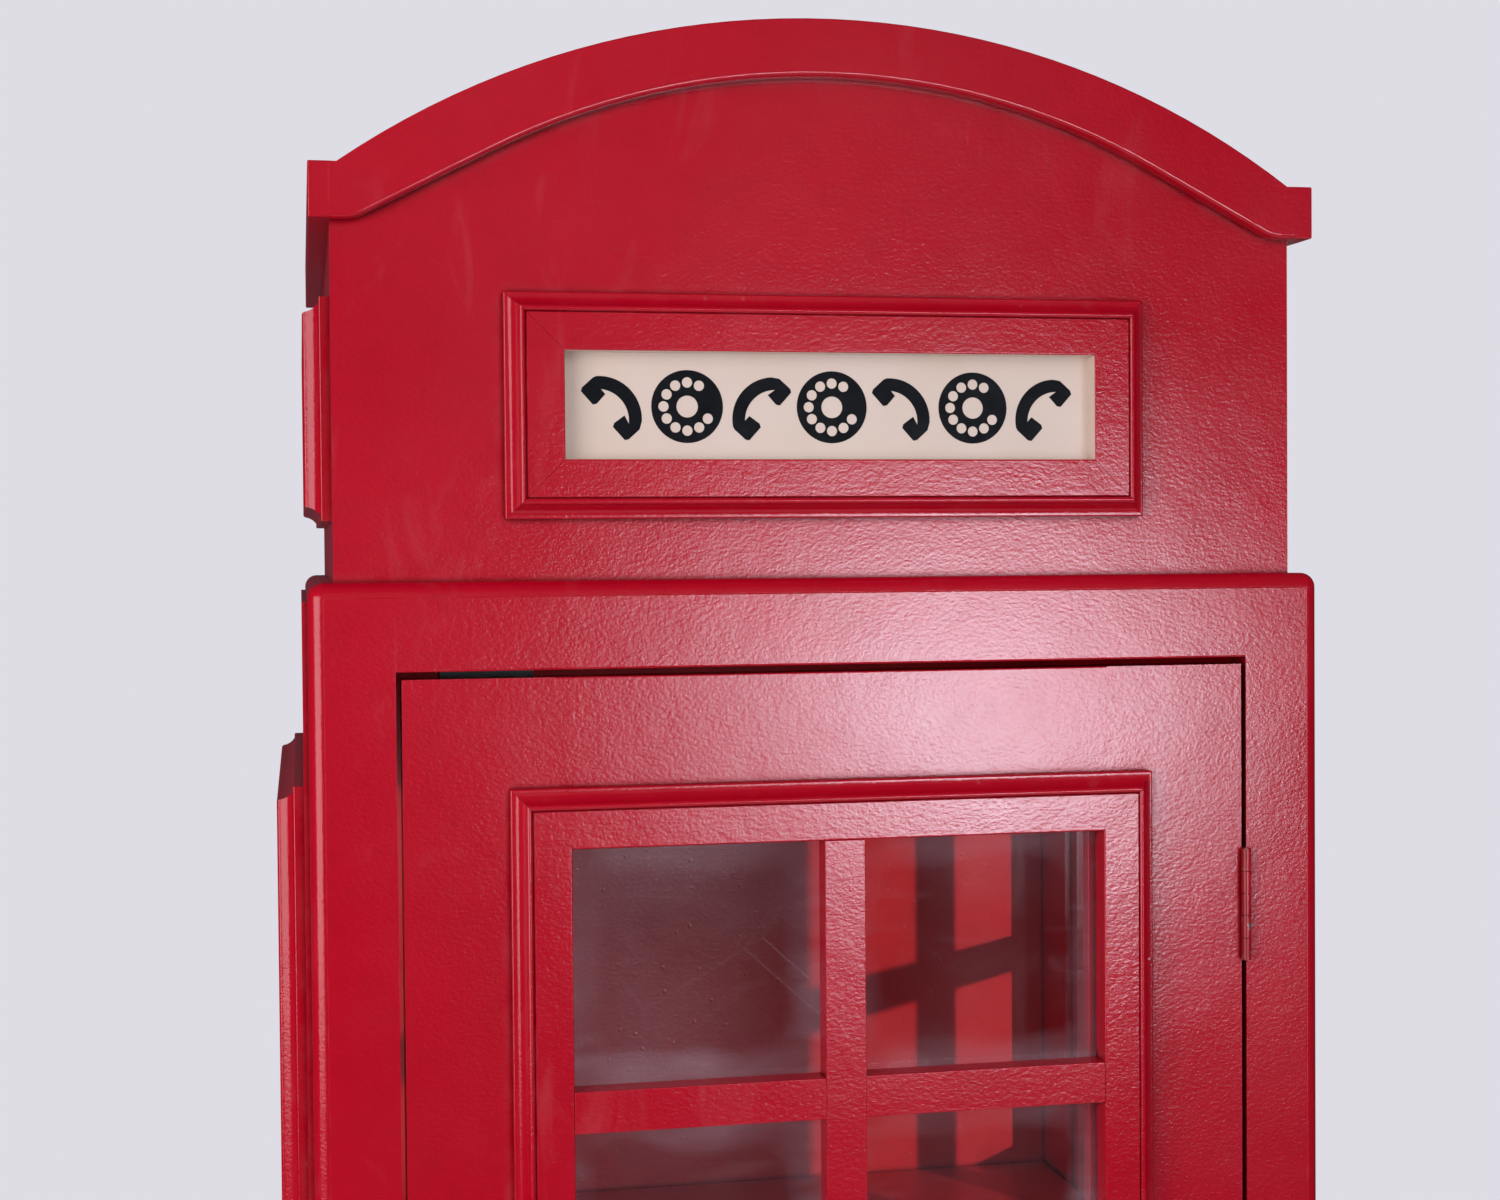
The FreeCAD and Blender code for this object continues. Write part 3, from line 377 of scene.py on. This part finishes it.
def dust_nibs(s):
    """From 0 to 1 on each grain of dust that dried in with the paint."""
    nib = s.cells(95.0)
    rare = s.remap(s.of_cell(nib, 1), 0.86, 0.88)
    return s.times(s.remap(nib.outputs["Distance"], 0.13, 0.03), rare)


def paint_relief(s, lines, nibs):
    """Roller stipple, coarse and fine, brush lines, an uneven board below, and the dust nibs."""
    leaning = s.add("Mapping", None, {
        "Vector": s.place, "Rotation": (0.0, 0.7, 0.0), "Scale": (1.0, 1.0, 1.7)}).outputs[0]
    relief = s.bump(s.noise(360.0, 2.0, 0.5, leaning), 0.085 * MM)
    relief = s.bump(s.noise(820.0, 2.0, 0.5), 0.060 * MM, relief)
    relief = s.bump(lines, 0.024 * MM, relief)
    relief = s.bump(s.noise(34.0, 3.0, 0.5), 0.20 * MM, relief)
    return s.bump(nibs, 0.16 * MM, relief)


def red_paint(name, grain, gloss=0.17, wear=1.0, red=RED, alone=False):
    """Brushed and rolled enamel. grain is the way the brush went, along the length of the board."""
    s = Shader(name, alone)
    lines = s.noise(1.0, 3.0, 0.6, s.stretched(GRAIN[grain]))
    corner = s.openness(6.0 * MM)
    nibs = dust_nibs(s)
    rubbed = s.times(s.edges(1.1 * MM), s.remap(s.noise(60.0, 5.0, 0.7), 0.46, 0.66))
    rubbed = s.times(rubbed, 0.38 * wear)
    colour = dust_and_joint_shade(s, brushed_tones(s, red, lines), corner)
    colour = s.blend(rubbed, colour, RED_WORN)
    colour = wiped_marks(s, dark_chips(s, colour), wear)
    colour = s.blend(s.times(nibs, 0.35), colour, RED_DUSTY)
    # painted shade: darker deep in corners and gaps
    colour = s.blend(s.times(s.crevices(8.0 * MM, 0.55, 0.12), 0.86), colour, RED_SHADE_AND_CHIPS)
    # handled places are shinier and others duller
    rough = s.remap(s.noise(11.0, 4.0, 0.6), 0.3, 0.7, gloss - 0.02, gloss + 0.03)
    rough = s.math("ADD", rough, s.times(rubbed, 0.25))
    # painted shade on the gloss: less specular in the corners, by their openness
    shader = s.add("BsdfPrincipled", None, {
        "Base Color": colour, "Roughness": rough, "Normal": paint_relief(s, lines, nibs),
        "IOR": PAINT_IOR, "Specular IOR Level": s.remap(corner, 0.55, 0.85, 0.10, 0.50)})
    return s.finish(shader)


def cream_paint():
    """The cream sign plate: aged, with painted shade, darker and yellower, near its edges, faintly brushed.
    """
    s = Shader("cream_plate")
    cloud = s.noise(16.0, 4.0, 0.55)
    colour = s.blend(s.remap(cloud, 0.35, 0.7), (0.73, 0.575, 0.51), (0.71, 0.55, 0.465))
    # painted shade: darker and yellower in the corners by the moulding
    colour = s.blend(s.times(s.crevices(8.0 * MM), 0.20), colour, (0.62, 0.45, 0.32))
    lines = s.noise(1.0, 3.0, 0.6, s.stretched(GRAIN["x"]))
    relief = s.bump(s.noise(700.0, 2.0, 0.5), 0.02 * MM, s.bump(lines, 0.02 * MM))
    rough = s.remap(s.noise(20.0, 3.0, 0.5), 0.3, 0.7, 0.32, 0.45)
    shader = s.add("BsdfPrincipled", None, {
        "Base Color": colour, "Roughness": rough, "Normal": relief, "IOR": PAINT_IOR})
    return s.finish(shader)


def sign_ink():
    """Black printed pictograms, a little thin in places."""
    s = Shader("sign_ink")
    thin = s.remap(s.noise(260.0, 4.0, 0.65), 0.55, 0.85, 0.0, 0.5)
    colour = s.blend(thin, (0.002, 0.002, 0.004), (0.014, 0.014, 0.020))
    rough = s.remap(s.noise(90.0, 3.0, 0.5), 0.3, 0.7, 0.40, 0.55)
    shader = s.add("BsdfPrincipled", None, {
        "Base Color": colour, "Roughness": rough, "Specular IOR Level": 0.12,
        "Normal": s.bump(s.noise(800.0, 2.0, 0.5), 0.01 * MM), "IOR": PAINT_IOR})
    return s.finish(shader)


def from_nearest_bar(s, across, centre):
    """How far a point is from the middle of the nearest bar, in metres, with soft inner corners."""
    split = s.add("SeparateXYZ", None, {0: s.place}).outputs
    beside = s.math("PINGPONG", s.math("SUBTRACT", split[across], centre[across]), PANE_PITCH[0] / 2)
    above = s.math("PINGPONG", s.math("SUBTRACT", split[2], centre[2]), PANE_PITCH[1] / 2)
    settings = {"operation": "SMOOTH_MIN"}
    return s.add("Math", settings, {0: beside, 1: above, 2: 20.0 * MM}).outputs[0]


def glass_haze(s, across, centre):
    """Wiped smears round the rim of each pane, a faint cloud all over, and a few hair scratches."""
    wavy = s.times(s.noise(17.0, 3.0, 0.5), 30.0 * MM)
    rim = s.math("ADD", from_nearest_bar(s, across, centre), wavy)
    here = s.times(s.remap(rim, 40.0 * MM, 22.0 * MM), s.remap(s.noise(6.0, 2.0, 0.5), 0.36, 0.56))
    wipes = s.noise(1.0, 5.0, 0.6, s.stretched((9, 9, 30), (2, 5, 1)), distortion=2.2)
    smears = s.times(here, s.remap(wipes, 0.30, 0.70, 0.04, 0.15))
    cloud = s.remap(s.noise(8.0, 3.0, 0.5, distortion=0.8), 0.40, 0.70, 0.003, 0.018)
    haze = s.math("ADD", smears, s.math("ADD", cloud, s.remap(wipes, 0.58, 0.85, 0.0, 0.03)))
    hair = s.remap(s.cells(11.0, "DISTANCE_TO_EDGE").outputs["Distance"], 0.0014, 0.0006)
    hair = s.times(hair, s.remap(s.noise(13.0, 2.0, 0.5), 0.50, 0.60, 0.0, 0.07))
    return s.math("ADD", haze, hair)


def clear_glass(name, across, centre):
    """Pane glass: clear, glossy outside, with a hazy film.

    across is the axis (0 or 1) along which the panes stand side by side, and centre their middle.
    """
    s = Shader(name)
    through = s.add("BsdfTransparent", None, {"Color": (0.95, 0.96, 0.96)})
    mirror = s.add("BsdfGlossy", None, {"Color": (1, 1, 1), "Roughness": 0.02})
    fresnel = s.add("Fresnel", None, {"IOR": 1.45}).outputs[0]
    entering = s.math("SUBTRACT", 1.0, s.add("NewGeometry").outputs["Backfacing"])
    gloss = s.times(fresnel, entering)
    pane = s.add("MixShader", None, {0: gloss, 1: through.outputs[0], 2: mirror.outputs[0]})
    film = s.add("BsdfDiffuse", None, {"Color": (0.80, 0.66, 0.80)})
    haze = glass_haze(s, across, centre)
    return s.finish(s.add("MixShader", None, {0: haze, 1: pane.outputs[0], 2: film.outputs[0]}))


def metal(name, colour, dull, rough, scratches):
    """A worn metal: dull film in patches, fine scratches, shinier on its arrises."""
    s = Shader(name)
    film = s.remap(s.noise(120.0, 5.0, 0.65), 0.42, 0.66)
    edge = s.edges(0.6 * MM)
    film = s.math("MULTIPLY", film, s.math("SUBTRACT", 1.0, edge), clamp=True)
    tone = s.blend(film, colour, dull)
    # painted shade: darker in the crevices
    tone = s.blend(s.times(s.crevices(2.0 * MM), 0.6), tone, (0.03, 0.028, 0.025))
    sheen = s.remap(film, 0.0, 1.0, rough, rough + 0.22)
    lines = s.noise(1.0, 4.0, 0.7, s.stretched(scratches))
    relief = s.bump(lines, 0.01 * MM, s.bump(s.noise(900.0, 3.0, 0.6), 0.008 * MM))
    shader = s.add("BsdfPrincipled", None, {
        "Base Color": tone, "Metallic": 1.0, "Roughness": sheen, "Normal": relief})
    return s.finish(shader)


def painted_hinge():
    """Hinge leaves and knuckles under the same red paint, worn through to grey steel in places."""
    s = Shader("painted_hinge")
    patches = s.noise(90.0, 4.0, 0.6)
    red = s.blend(s.remap(patches, 0.35, 0.65), RED, RED_DEEP)
    # painted shade: darker in the hinge's crevices
    red = s.blend(s.times(s.crevices(5.0 * MM, 0.75, 0.25), 0.92), red, RED_SHADE_AND_CHIPS)
    # painted shade darkens the left of each barrel, where its normal faces -X
    aside = s.add("SeparateXYZ", None, {0: s.add("TexCoord").outputs["Normal"]}).outputs[0]
    red = s.blend(s.remap(aside, -0.10, -0.55, 0.0, 0.9), red, RED_HINGE_SHADE)
    chips = s.remap(s.noise(320.0, 4.0, 0.7), 0.40, 0.75)
    knocks = s.remap(s.noise(62.0, 3.0, 0.6, s.stretched((1, 1, 1.4), (0.3, 0.1, 0.0))), 0.50, 0.66)
    bare = s.remap(s.times(chips, knocks), 0.14, 0.26)
    colour = s.blend(bare, red, (0.30, 0.27, 0.27))
    relief = s.bump(s.noise(600.0, 3.0, 0.6), 0.04 * MM)
    relief = s.bump(s.math("SUBTRACT", 1.0, bare), 0.05 * MM, relief)
    shader = s.add("BsdfPrincipled", None, {
        "Base Color": colour, "Metallic": s.times(bare, 0.85),
        "Roughness": s.remap(bare, 0.0, 1.0, 0.28, 0.46), "Normal": relief, "IOR": PAINT_IOR})
    return s.finish(shader)


def plastic(name, colour, pale, rough):
    """Moulded plastic with a fine leathery texture, scuffed paler here and there."""
    s = Shader(name)
    scuffed = s.remap(s.noise(150.0, 5.0, 0.7), 0.55, 0.75, 0.0, 0.5)
    tone = s.blend(scuffed, colour, pale)
    leathery = s.bump(s.cells(1600.0).outputs["Distance"], 0.03 * MM)
    shader = s.add("BsdfPrincipled", None, {
        "Base Color": tone, "Roughness": s.remap(scuffed, 0.0, 0.5, rough, rough + 0.2),
        "Normal": leathery, "IOR": 1.46})
    return s.finish(shader)


def floor_finish(radius):
    """A pale floor that fades into the plain background towards its edge."""
    s = Shader("pale_floor")
    cloud = s.noise(2.0, 4.0, 0.5)
    colour = s.blend(cloud, (0.74, 0.735, 0.76), (0.70, 0.695, 0.72))
    uneven = s.bump(s.noise(90.0, 3.0, 0.5), 0.4 * MM)
    cover = s.add("BsdfPrincipled", None, {"Base Color": colour, "Roughness": 0.75, "Normal": uneven})
    clear = s.add("BsdfTransparent")
    distance = s.add("VectorMath", {"operation": "LENGTH"}, {0: s.place}).outputs["Value"]
    gone = s.remap(distance, radius * 0.45, radius * 0.98)
    return s.finish(s.add("MixShader", None, {0: gone, 1: cover.outputs[0], 2: clear.outputs[0]}))


# ---------------------------------------------------------------- mesh shorthand


def centre_of(name):
    """The middle of a CAD node's box."""
    low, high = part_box(name)
    return (low + high) / 2


def node_mesh(name):
    """A bmesh copy of a CAD node, its split corners welded and its flat faces whole again."""
    mesh = bmesh.new()
    mesh.from_mesh(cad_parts[name].data)
    bmesh.ops.remove_doubles(mesh, verts=mesh.verts, dist=WELD)
    bmesh.ops.dissolve_limit(mesh, angle_limit=math.radians(0.3), verts=mesh.verts, edges=mesh.edges)
    bmesh.ops.recalc_face_normals(mesh, faces=mesh.faces)
    return mesh


def new_piece(name, mesh, body, material, crease=35.0):
    """A piece made from a bmesh, smooth except across creases, that rides on a body."""
    data = bpy.data.meshes.new(name)
    mesh.to_mesh(data)
    mesh.free()
    if "custom_normal" in data.attributes:
        data.attributes.remove(data.attributes["custom_normal"])
    data.shade_smooth()
    data.set_sharp_from_angle(angle=math.radians(crease))
    data.materials.append(material)
    piece = bpy.data.objects.new(name, data)
    bpy.context.scene.collection.objects.link(piece)
    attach(piece, body)
    return piece


def round_edges(mesh, edges, radius):
    """Rounds these edges of a bmesh."""
    if edges:
        bmesh.ops.bevel(mesh, geom=edges, offset=radius, segments=3, profile=0.5,
                        affect="EDGES", clamp_overlap=True)


def keep_faces_flat(piece):
    """Weighs the normals by face area, so that a big face stays flat up to its rounded edge."""
    modifier = piece.modifiers.new("flat_faces", "WEIGHTED_NORMAL")
    modifier.keep_sharp = True
    modifier.weight = 100


# ---------------------------------------------------------------- painted boards


class Neighbours:
    """Says whether a point is inside any of the cabinet's solid pieces."""

    def __init__(self, names):
        self.trees = {}
        for name in names:
            mesh = node_mesh(name)
            bmesh.ops.triangulate(mesh, faces=mesh.faces)
            self.trees[name] = (BVHTree.FromBMesh(mesh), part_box(name))
            mesh.free()

    def cover(self, point, besides):
        """True if a piece other than besides fills this point."""
        for name, (tree, (low, high)) in self.trees.items():
            if name == besides:
                continue
            if any(point[i] < low[i] or point[i] > high[i] for i in range(3)):
                continue
            nearest, normal, _, _ = tree.find_nearest(point)
            if nearest is not None and (point - nearest).dot(normal) < 0:
                return True
        return False


def free_edge(edge, name, neighbours):
    """True for a convex sharp edge that no other piece meets at its middle or near its ends."""
    if len(edge.link_faces) != 2 or not edge.is_convex:
        return False
    if edge.calc_face_angle(0.0) < math.radians(38):
        return False
    first, second = (v.co for v in edge.verts)
    inwards = -(edge.link_faces[0].normal + edge.link_faces[1].normal).normalized()
    probe = 0.3 * MM
    for share in (0.02, 0.5, 0.98):
        on_edge = first.lerp(second, share)
        for face in edge.link_faces:
            if neighbours.cover(on_edge + face.normal * probe + inwards * probe * 0.5, name):
                return False
    return True


def line_places(edges, axis):
    """Where the edges that run square to an axis lie along it."""
    return {round(e.verts[0].co[axis], 5) for e in edges
            if abs(e.verts[0].co[axis] - e.verts[1].co[axis]) < 0.01 * MM}


def router_line(mesh, front):
    """A fine groove along the border between a flat front and the rounded arris beside it."""
    border = [e for e in mesh.edges if len(e.link_faces) == 2
              and math.radians(2) < e.calc_face_angle(0.0) < math.radians(20)
              and all(abs(v.co.y - front) < 0.02 * MM for v in e.verts)]
    if not border:
        return
    places = [(axis, place) for axis in (0, 2) for place in line_places(border, axis)]
    bmesh.ops.bevel(mesh, geom=border, offset=GROOVE_WIDTH, segments=2, profile=0.5,
                    affect="EDGES", clamp_overlap=True)
    for vertex in mesh.verts:
        on_line = any(abs(vertex.co[axis] - place) < GROOVE_WIDTH / 5 for axis, place in places)
        if on_line and abs(vertex.co.y - front) < 0.05 * MM:
            vertex.co.y += GROOVE_DEPTH


def under_the_arch(edge):
    """Whether an edge is part of the lower front arris of the arch board."""
    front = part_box("arch_rim_front")[0].y
    on_front = all(abs(v.co.y - front) < 0.1 * MM for v in edge.verts)
    return on_front and any(face.normal.z < -0.3 for face in edge.link_faces)


def rounded_board(name, body, material, neighbours):
    """The CAD board with its free arrises eased."""
    mesh = node_mesh(name)
    marks = mesh.edges.layers.int.new("ease")
    plain, wide = 1, 2
    for edge in mesh.edges:
        if free_edge(edge, name, neighbours):
            edge[marks] = wide if name == "arch_rim_front" and under_the_arch(edge) else plain
    for mark, radius in ((wide, ARCH_ROUNDING), (plain, BOARD_ROUNDING)):
        chosen = [e for e in mesh.edges if e[marks] == mark]
        for edge in chosen:
            edge[marks] = 0
        round_edges(mesh, chosen, radius)
    if name in GROOVED_BOARDS:
        router_line(mesh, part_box(name)[0].y)
    piece = new_piece("painted_" + name, mesh, body, material)
    keep_faces_flat(piece)
    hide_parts(name)
    return piece


# ---------------------------------------------------------------- mouldings


def line_opening(mesh, axis, middle):
    """Marks the faces nearest the middle along an axis, and square to it, for the second finish."""
    square = [f for f in mesh.faces if abs(f.normal[axis]) > 0.9]
    nearest = min(abs(f.calc_center_median()[axis] - middle[axis]) for f in square)
    for face in square:
        if abs(face.calc_center_median()[axis] - middle[axis]) < nearest + 0.2 * MM:
            face.material_index = 1


def moulding_strip(name, side, axis, along):
    """One strip of a mitred moulding, as a closed bmesh cut short by a hairline at both ends.

    side, 1 or -1, says which end of the axis it lies at, and along is the axis of its length.
    """
    low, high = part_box(name)
    middle = (low + high) / 2
    half = (high - low) / 2
    strip = bmesh.new()
    strip.from_mesh(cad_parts[name].data)
    others = []
    for face in strip.faces:
        centre = face.calc_center_median() - middle
        from_this_rim = half[axis] - abs(centre[axis])
        from_next_rim = half[along] - abs(centre[along])
        if from_this_rim >= from_next_rim - 0.01 * MM or centre[axis] * side <= 0:
            others.append(face)
    bmesh.ops.delete(strip, geom=others, context="FACES")
    bmesh.ops.remove_doubles(strip, verts=strip.verts, dist=WELD)
    for vertex in strip.verts:
        vertex.co[along] -= math.copysign(MITRE_GAP, vertex.co[along] - middle[along])
    bmesh.ops.holes_fill(strip, edges=[e for e in strip.edges if e.is_boundary])
    bmesh.ops.recalc_face_normals(strip, faces=strip.faces)
    return strip


def mitred_moulding(name, body, material, across, lining=None):
    """The CAD moulding as four strips with a hairline gap at each mitre. across is its level axis.

    lining is the finish of the innermost faces, where it isn't the same as the rest.
    """
    up = 2
    whole = bmesh.new()
    for side in (1, -1):
        for axis, along in ((up, across), (across, up)):
            strip = moulding_strip(name, side, axis, along)
            part = bpy.data.meshes.new("strip")
            strip.to_mesh(part)
            strip.free()
            whole.from_mesh(part)
            bpy.data.meshes.remove(part)
    if lining:
        for axis in (across, up):
            line_opening(whole, axis, centre_of(name))
    piece = new_piece("painted_" + name, whole, body, material, crease=40.0)
    if lining:
        piece.data.materials.append(lining)
    keep_faces_flat(piece)
    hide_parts(name)


# ---------------------------------------------------------------- sign pictograms


def arc_points(centre, radius, steps, start=0.0, sweep=2 * math.pi):
    """Points on an arc or circle in the plane of the sign."""
    return [
        (centre[0] + radius * math.cos(start + sweep * i / steps),
         centre[1] + radius * math.sin(start + sweep * i / steps))
        for i in range(steps)
    ]


def dial_shape(size):
    """A rotary dial: a disc with a hole in its middle and ten finger holes round it."""
    outer = size / 2
    loops = [arc_points((0, 0), outer, 48), arc_points((0, 0), outer * 0.30, 32)]
    for hole in range(10):
        angle = math.radians(60 + hole * 30)
        spot = (outer * 0.66 * math.cos(angle), outer * 0.66 * math.sin(angle))
        loops.append(arc_points(spot, outer * 0.145, 16))
    return loops


# the right-hand cup of a handset, from the outer end of the grip round to the inner, in halves of its length
HANDSET_CUP = [(1.02, 0.12), (1.02, -0.32), (0.96, -0.42), (0.44, -0.42), (0.38, -0.32), (0.42, 0.06)]


def handset_shape(size, lean):
    """A handset seen from the side: an arched grip between an ear cup and a mouth cup."""
    half = size / 2
    grip_outer = arc_points((0, -half * 0.55), half * 1.25, 16, math.radians(142), math.radians(-104))
    grip_inner = arc_points((0, -half * 0.62), half * 0.92, 16, math.radians(42), math.radians(96))
    right = [(half * x, half * y) for x, y in HANDSET_CUP]
    left = [(-x, y) for x, y in reversed(right)]
    loop = grip_outer + right + grip_inner + left
    cosine, sine = math.cos(lean), math.sin(lean)
    return [[(x * cosine - y * sine, x * sine + y * cosine) for x, y in loop]]


SYMBOLS = 7
SIGN_WIDTH, SIGN_HEIGHT = 246.0 * MM, 39.0 * MM    # the room that the row of symbols takes on its plate
HANDSET_LEAN = math.radians(48)


def sign_row():
    """A row of generic symbols: dials between leaning handsets. Gives (loops, shift) for each."""
    pitch = SIGN_WIDTH / SYMBOLS
    row = []
    for place in range(SYMBOLS):
        shift = (place - (SYMBOLS - 1) / 2) * pitch
        if place % 2:
            loops = dial_shape(min(pitch * 0.98, SIGN_HEIGHT))
        else:
            loops = handset_shape(SIGN_HEIGHT * 0.82, HANDSET_LEAN if place % 4 else -HANDSET_LEAN)
        row.append((loops, shift))
    return row


def pictograms(name, material, origin, across):
    """The row of symbols as thin flat ink, centred on origin. across is the way that it reads."""
    curve = bpy.data.curves.new(name, "CURVE")
    curve.dimensions = "2D"
    curve.fill_mode = "BOTH"
    curve.extrude = INK_HALF
    for loops, shift in sign_row():
        for loop in loops:
            spline = curve.splines.new("POLY")
            spline.points.add(len(loop) - 1)
            for point, (x, y) in zip(spline.points, loop):
                point.co = (x + shift, y, 0, 1)
            spline.use_cyclic_u = True
    flat = bpy.data.objects.new(name + "_curve", curve)
    bpy.context.scene.collection.objects.link(flat)
    bpy.context.view_layer.update()
    mesh = bmesh.new()
    made = bpy.data.meshes.new_from_object(flat)
    mesh.from_mesh(made)
    bpy.data.objects.remove(flat)
    bpy.data.meshes.remove(made)
    across, up = Vector(across), Vector((0, 0, 1))
    turn = Matrix((across, up, across.cross(up))).transposed().to_4x4()
    bmesh.ops.transform(mesh, matrix=Matrix.Translation(origin) @ turn, verts=mesh.verts)
    new_piece(name, mesh, CABINET, material)


# ---------------------------------------------------------------- the object


def dress(names, material):
    """Gives CAD nodes that stay as they are their finish."""
    for name in names:
        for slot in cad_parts[name].material_slots:
            slot.material = material


BOARDS_BY_GRAIN = {
    "rolled": ["face_stile_left", "face_stile_right", "face_top_rail", "face_bottom_rail",
               "door_lock_stile", "door_hinge_stile", "door_top_rail", "door_bottom_rail",
               "head_front_panel"],
    "x": ["plinth_front", "head_back_panel", "arch_rim_front", "roof_skin", "top_board"],
    "y": ["plinth_left", "plinth_right", "left_side_top_rail", "left_side_bottom_rail",
          "right_side_top_rail", "right_side_bottom_rail", "head_left_panel", "head_right_panel",
          "rim_board_left", "rim_board_right"],
    "z": ["left_side_front_stile", "left_side_back_stile",
          "right_side_front_stile", "right_side_back_stile"],
}
INNER_BOARDS = ["back_panel", "shelf_1", "shelf_2", "shelf_3", "shelf_4", "bottom_board"]
GROOVED_BOARDS = ["face_stile_left", "face_stile_right", "face_top_rail"]
# each moulding's body, and the level axis along which it lies: 0 on a front and 1 on a side
MOULDINGS = {"door_moulding": (DOOR, 0), "front_sign_moulding": (CABINET, 0),
             "left_window_moulding": (CABINET, 1), "right_window_moulding": (CABINET, 1),
             "left_sign_moulding": (CABINET, 1), "right_sign_moulding": (CABINET, 1)}
BARS = {"door_glazing_bars": DOOR, "left_window_bars": CABINET, "right_window_bars": CABINET,
        "door_glazing_beads": DOOR, "side_window_beads": CABINET}


def body_of_node(name):
    """The CAD body that a node belongs to."""
    return DOOR if name.startswith("door_") else CABINET


def make_boards():
    """Every painted board, with softly rounded free arrises."""
    outer_boards = [name for names in BOARDS_BY_GRAIN.values() for name in names]
    neighbours = Neighbours(outer_boards + INNER_BOARDS)
    pieces = {}
    for grain, names in BOARDS_BY_GRAIN.items():
        material = red_paint("red_paint_" + grain, grain)
        for name in names:
            pieces[name] = rounded_board(name, body_of_node(name), material, neighbours)
    inside = red_paint("red_paint_inside", "x", gloss=0.32, red=RED_INSIDE)
    for name in INNER_BOARDS:
        pieces[name] = rounded_board(name, CABINET, inside, neighbours)
    return pieces


def make_mouldings(lining):
    """The planted mouldings, each with its four mitred strips. Those round the signs are lined."""
    material = red_paint("red_paint_moulding", "x", gloss=0.16, wear=1.3)
    for name, (body, across) in MOULDINGS.items():
        mitred_moulding(name, body, material, across, lining if "sign" in name else None)


def make_bars():
    """Glazing bars and beads, with finely eased arrises that leave a hairline at each joint."""
    material = red_paint("red_paint_bars", "z", wear=1.3, alone=True)
    for name, body in BARS.items():
        mesh = node_mesh(name)
        sharp = [e for e in mesh.edges if len(e.link_faces) == 2 and e.calc_face_angle(0) > math.radians(35)]
        round_edges(mesh, sharp, BAR_ROUNDING)
        piece = new_piece("painted_" + name, mesh, body, material)
        keep_faces_flat(piece)
        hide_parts(name)


def make_signs():
    """Generic pictograms on the front plate and on both side plates."""
    ink = sign_ink()
    front = centre_of("front_sign_moulding")
    side = centre_of("left_sign_moulding")
    plate_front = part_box("front_sign_plate")[0].y
    plates_left, plates_right = (corner.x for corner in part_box("side_sign_plates"))
    pictograms("front_pictograms", ink, (front.x, plate_front - INK_RAISED, front.z), (1, 0, 0))
    pictograms("left_pictograms", ink, (plates_left - INK_RAISED, side.y, side.z), (0, -1, 0))
    pictograms("right_pictograms", ink, (plates_right + INK_RAISED, side.y, side.z), (0, 1, 0))


FLOOR_RADIUS = 3.0


def make_floor():
    """A wide round floor, not part of the object."""
    mesh = bmesh.new()
    bmesh.ops.create_circle(mesh, cap_ends=True, segments=96, radius=FLOOR_RADIUS)
    data = bpy.data.meshes.new("studio_floor")
    mesh.to_mesh(data)
    mesh.free()
    data.materials.append(floor_finish(FLOOR_RADIUS))
    floor = bpy.data.objects.new("studio_floor", data)
    bpy.context.scene.collection.objects.link(floor)


def make_object():
    """All visible pieces and their finishes."""
    boards = make_boards()
    cream = cream_paint()
    make_mouldings(cream)
    make_bars()
    make_signs()
    dress(["front_sign_plate", "side_sign_plates"], cream)
    dress(["door_glass"], clear_glass("door_pane_glass", 0, centre_of("door_moulding")))
    dress(["side_window_glass"], clear_glass("side_pane_glass", 1, centre_of("left_window_moulding")))
    dress(["hinge_frame_leaves", "hinge_door_leaves"], painted_hinge())
    steel = metal("zinc_steel", (0.56, 0.55, 0.53), (0.30, 0.29, 0.28), 0.28, (300, 300, 40))
    dress(["hinge_pins", "hinge_frame_screws", "hinge_door_screws", "handle_screws", "catch_plate",
           "shelf_pins"], steel)
    brass = metal("brass_handle", (0.72, 0.47, 0.17), (0.33, 0.20, 0.08), 0.20, (260, 260, 30))
    dress(["door_handle"], brass)
    dress(["foot_glides"], plastic("glide_plastic", (0.028, 0.024, 0.021), (0.12, 0.11, 0.10), 0.42))
    dress(["magnet_catch"], plastic("catch_plastic", (0.020, 0.012, 0.010), (0.06, 0.045, 0.04), 0.45))
    sunlit = INNER_BOARDS + ["left_side_front_stile", "left_side_back_stile"]
    make_side_sun([boards[name] for name in sunlit])


make_camera()
make_world()
make_lights()
make_floor()
make_object()
bpy.context.scene.view_settings.view_transform = "Standard"
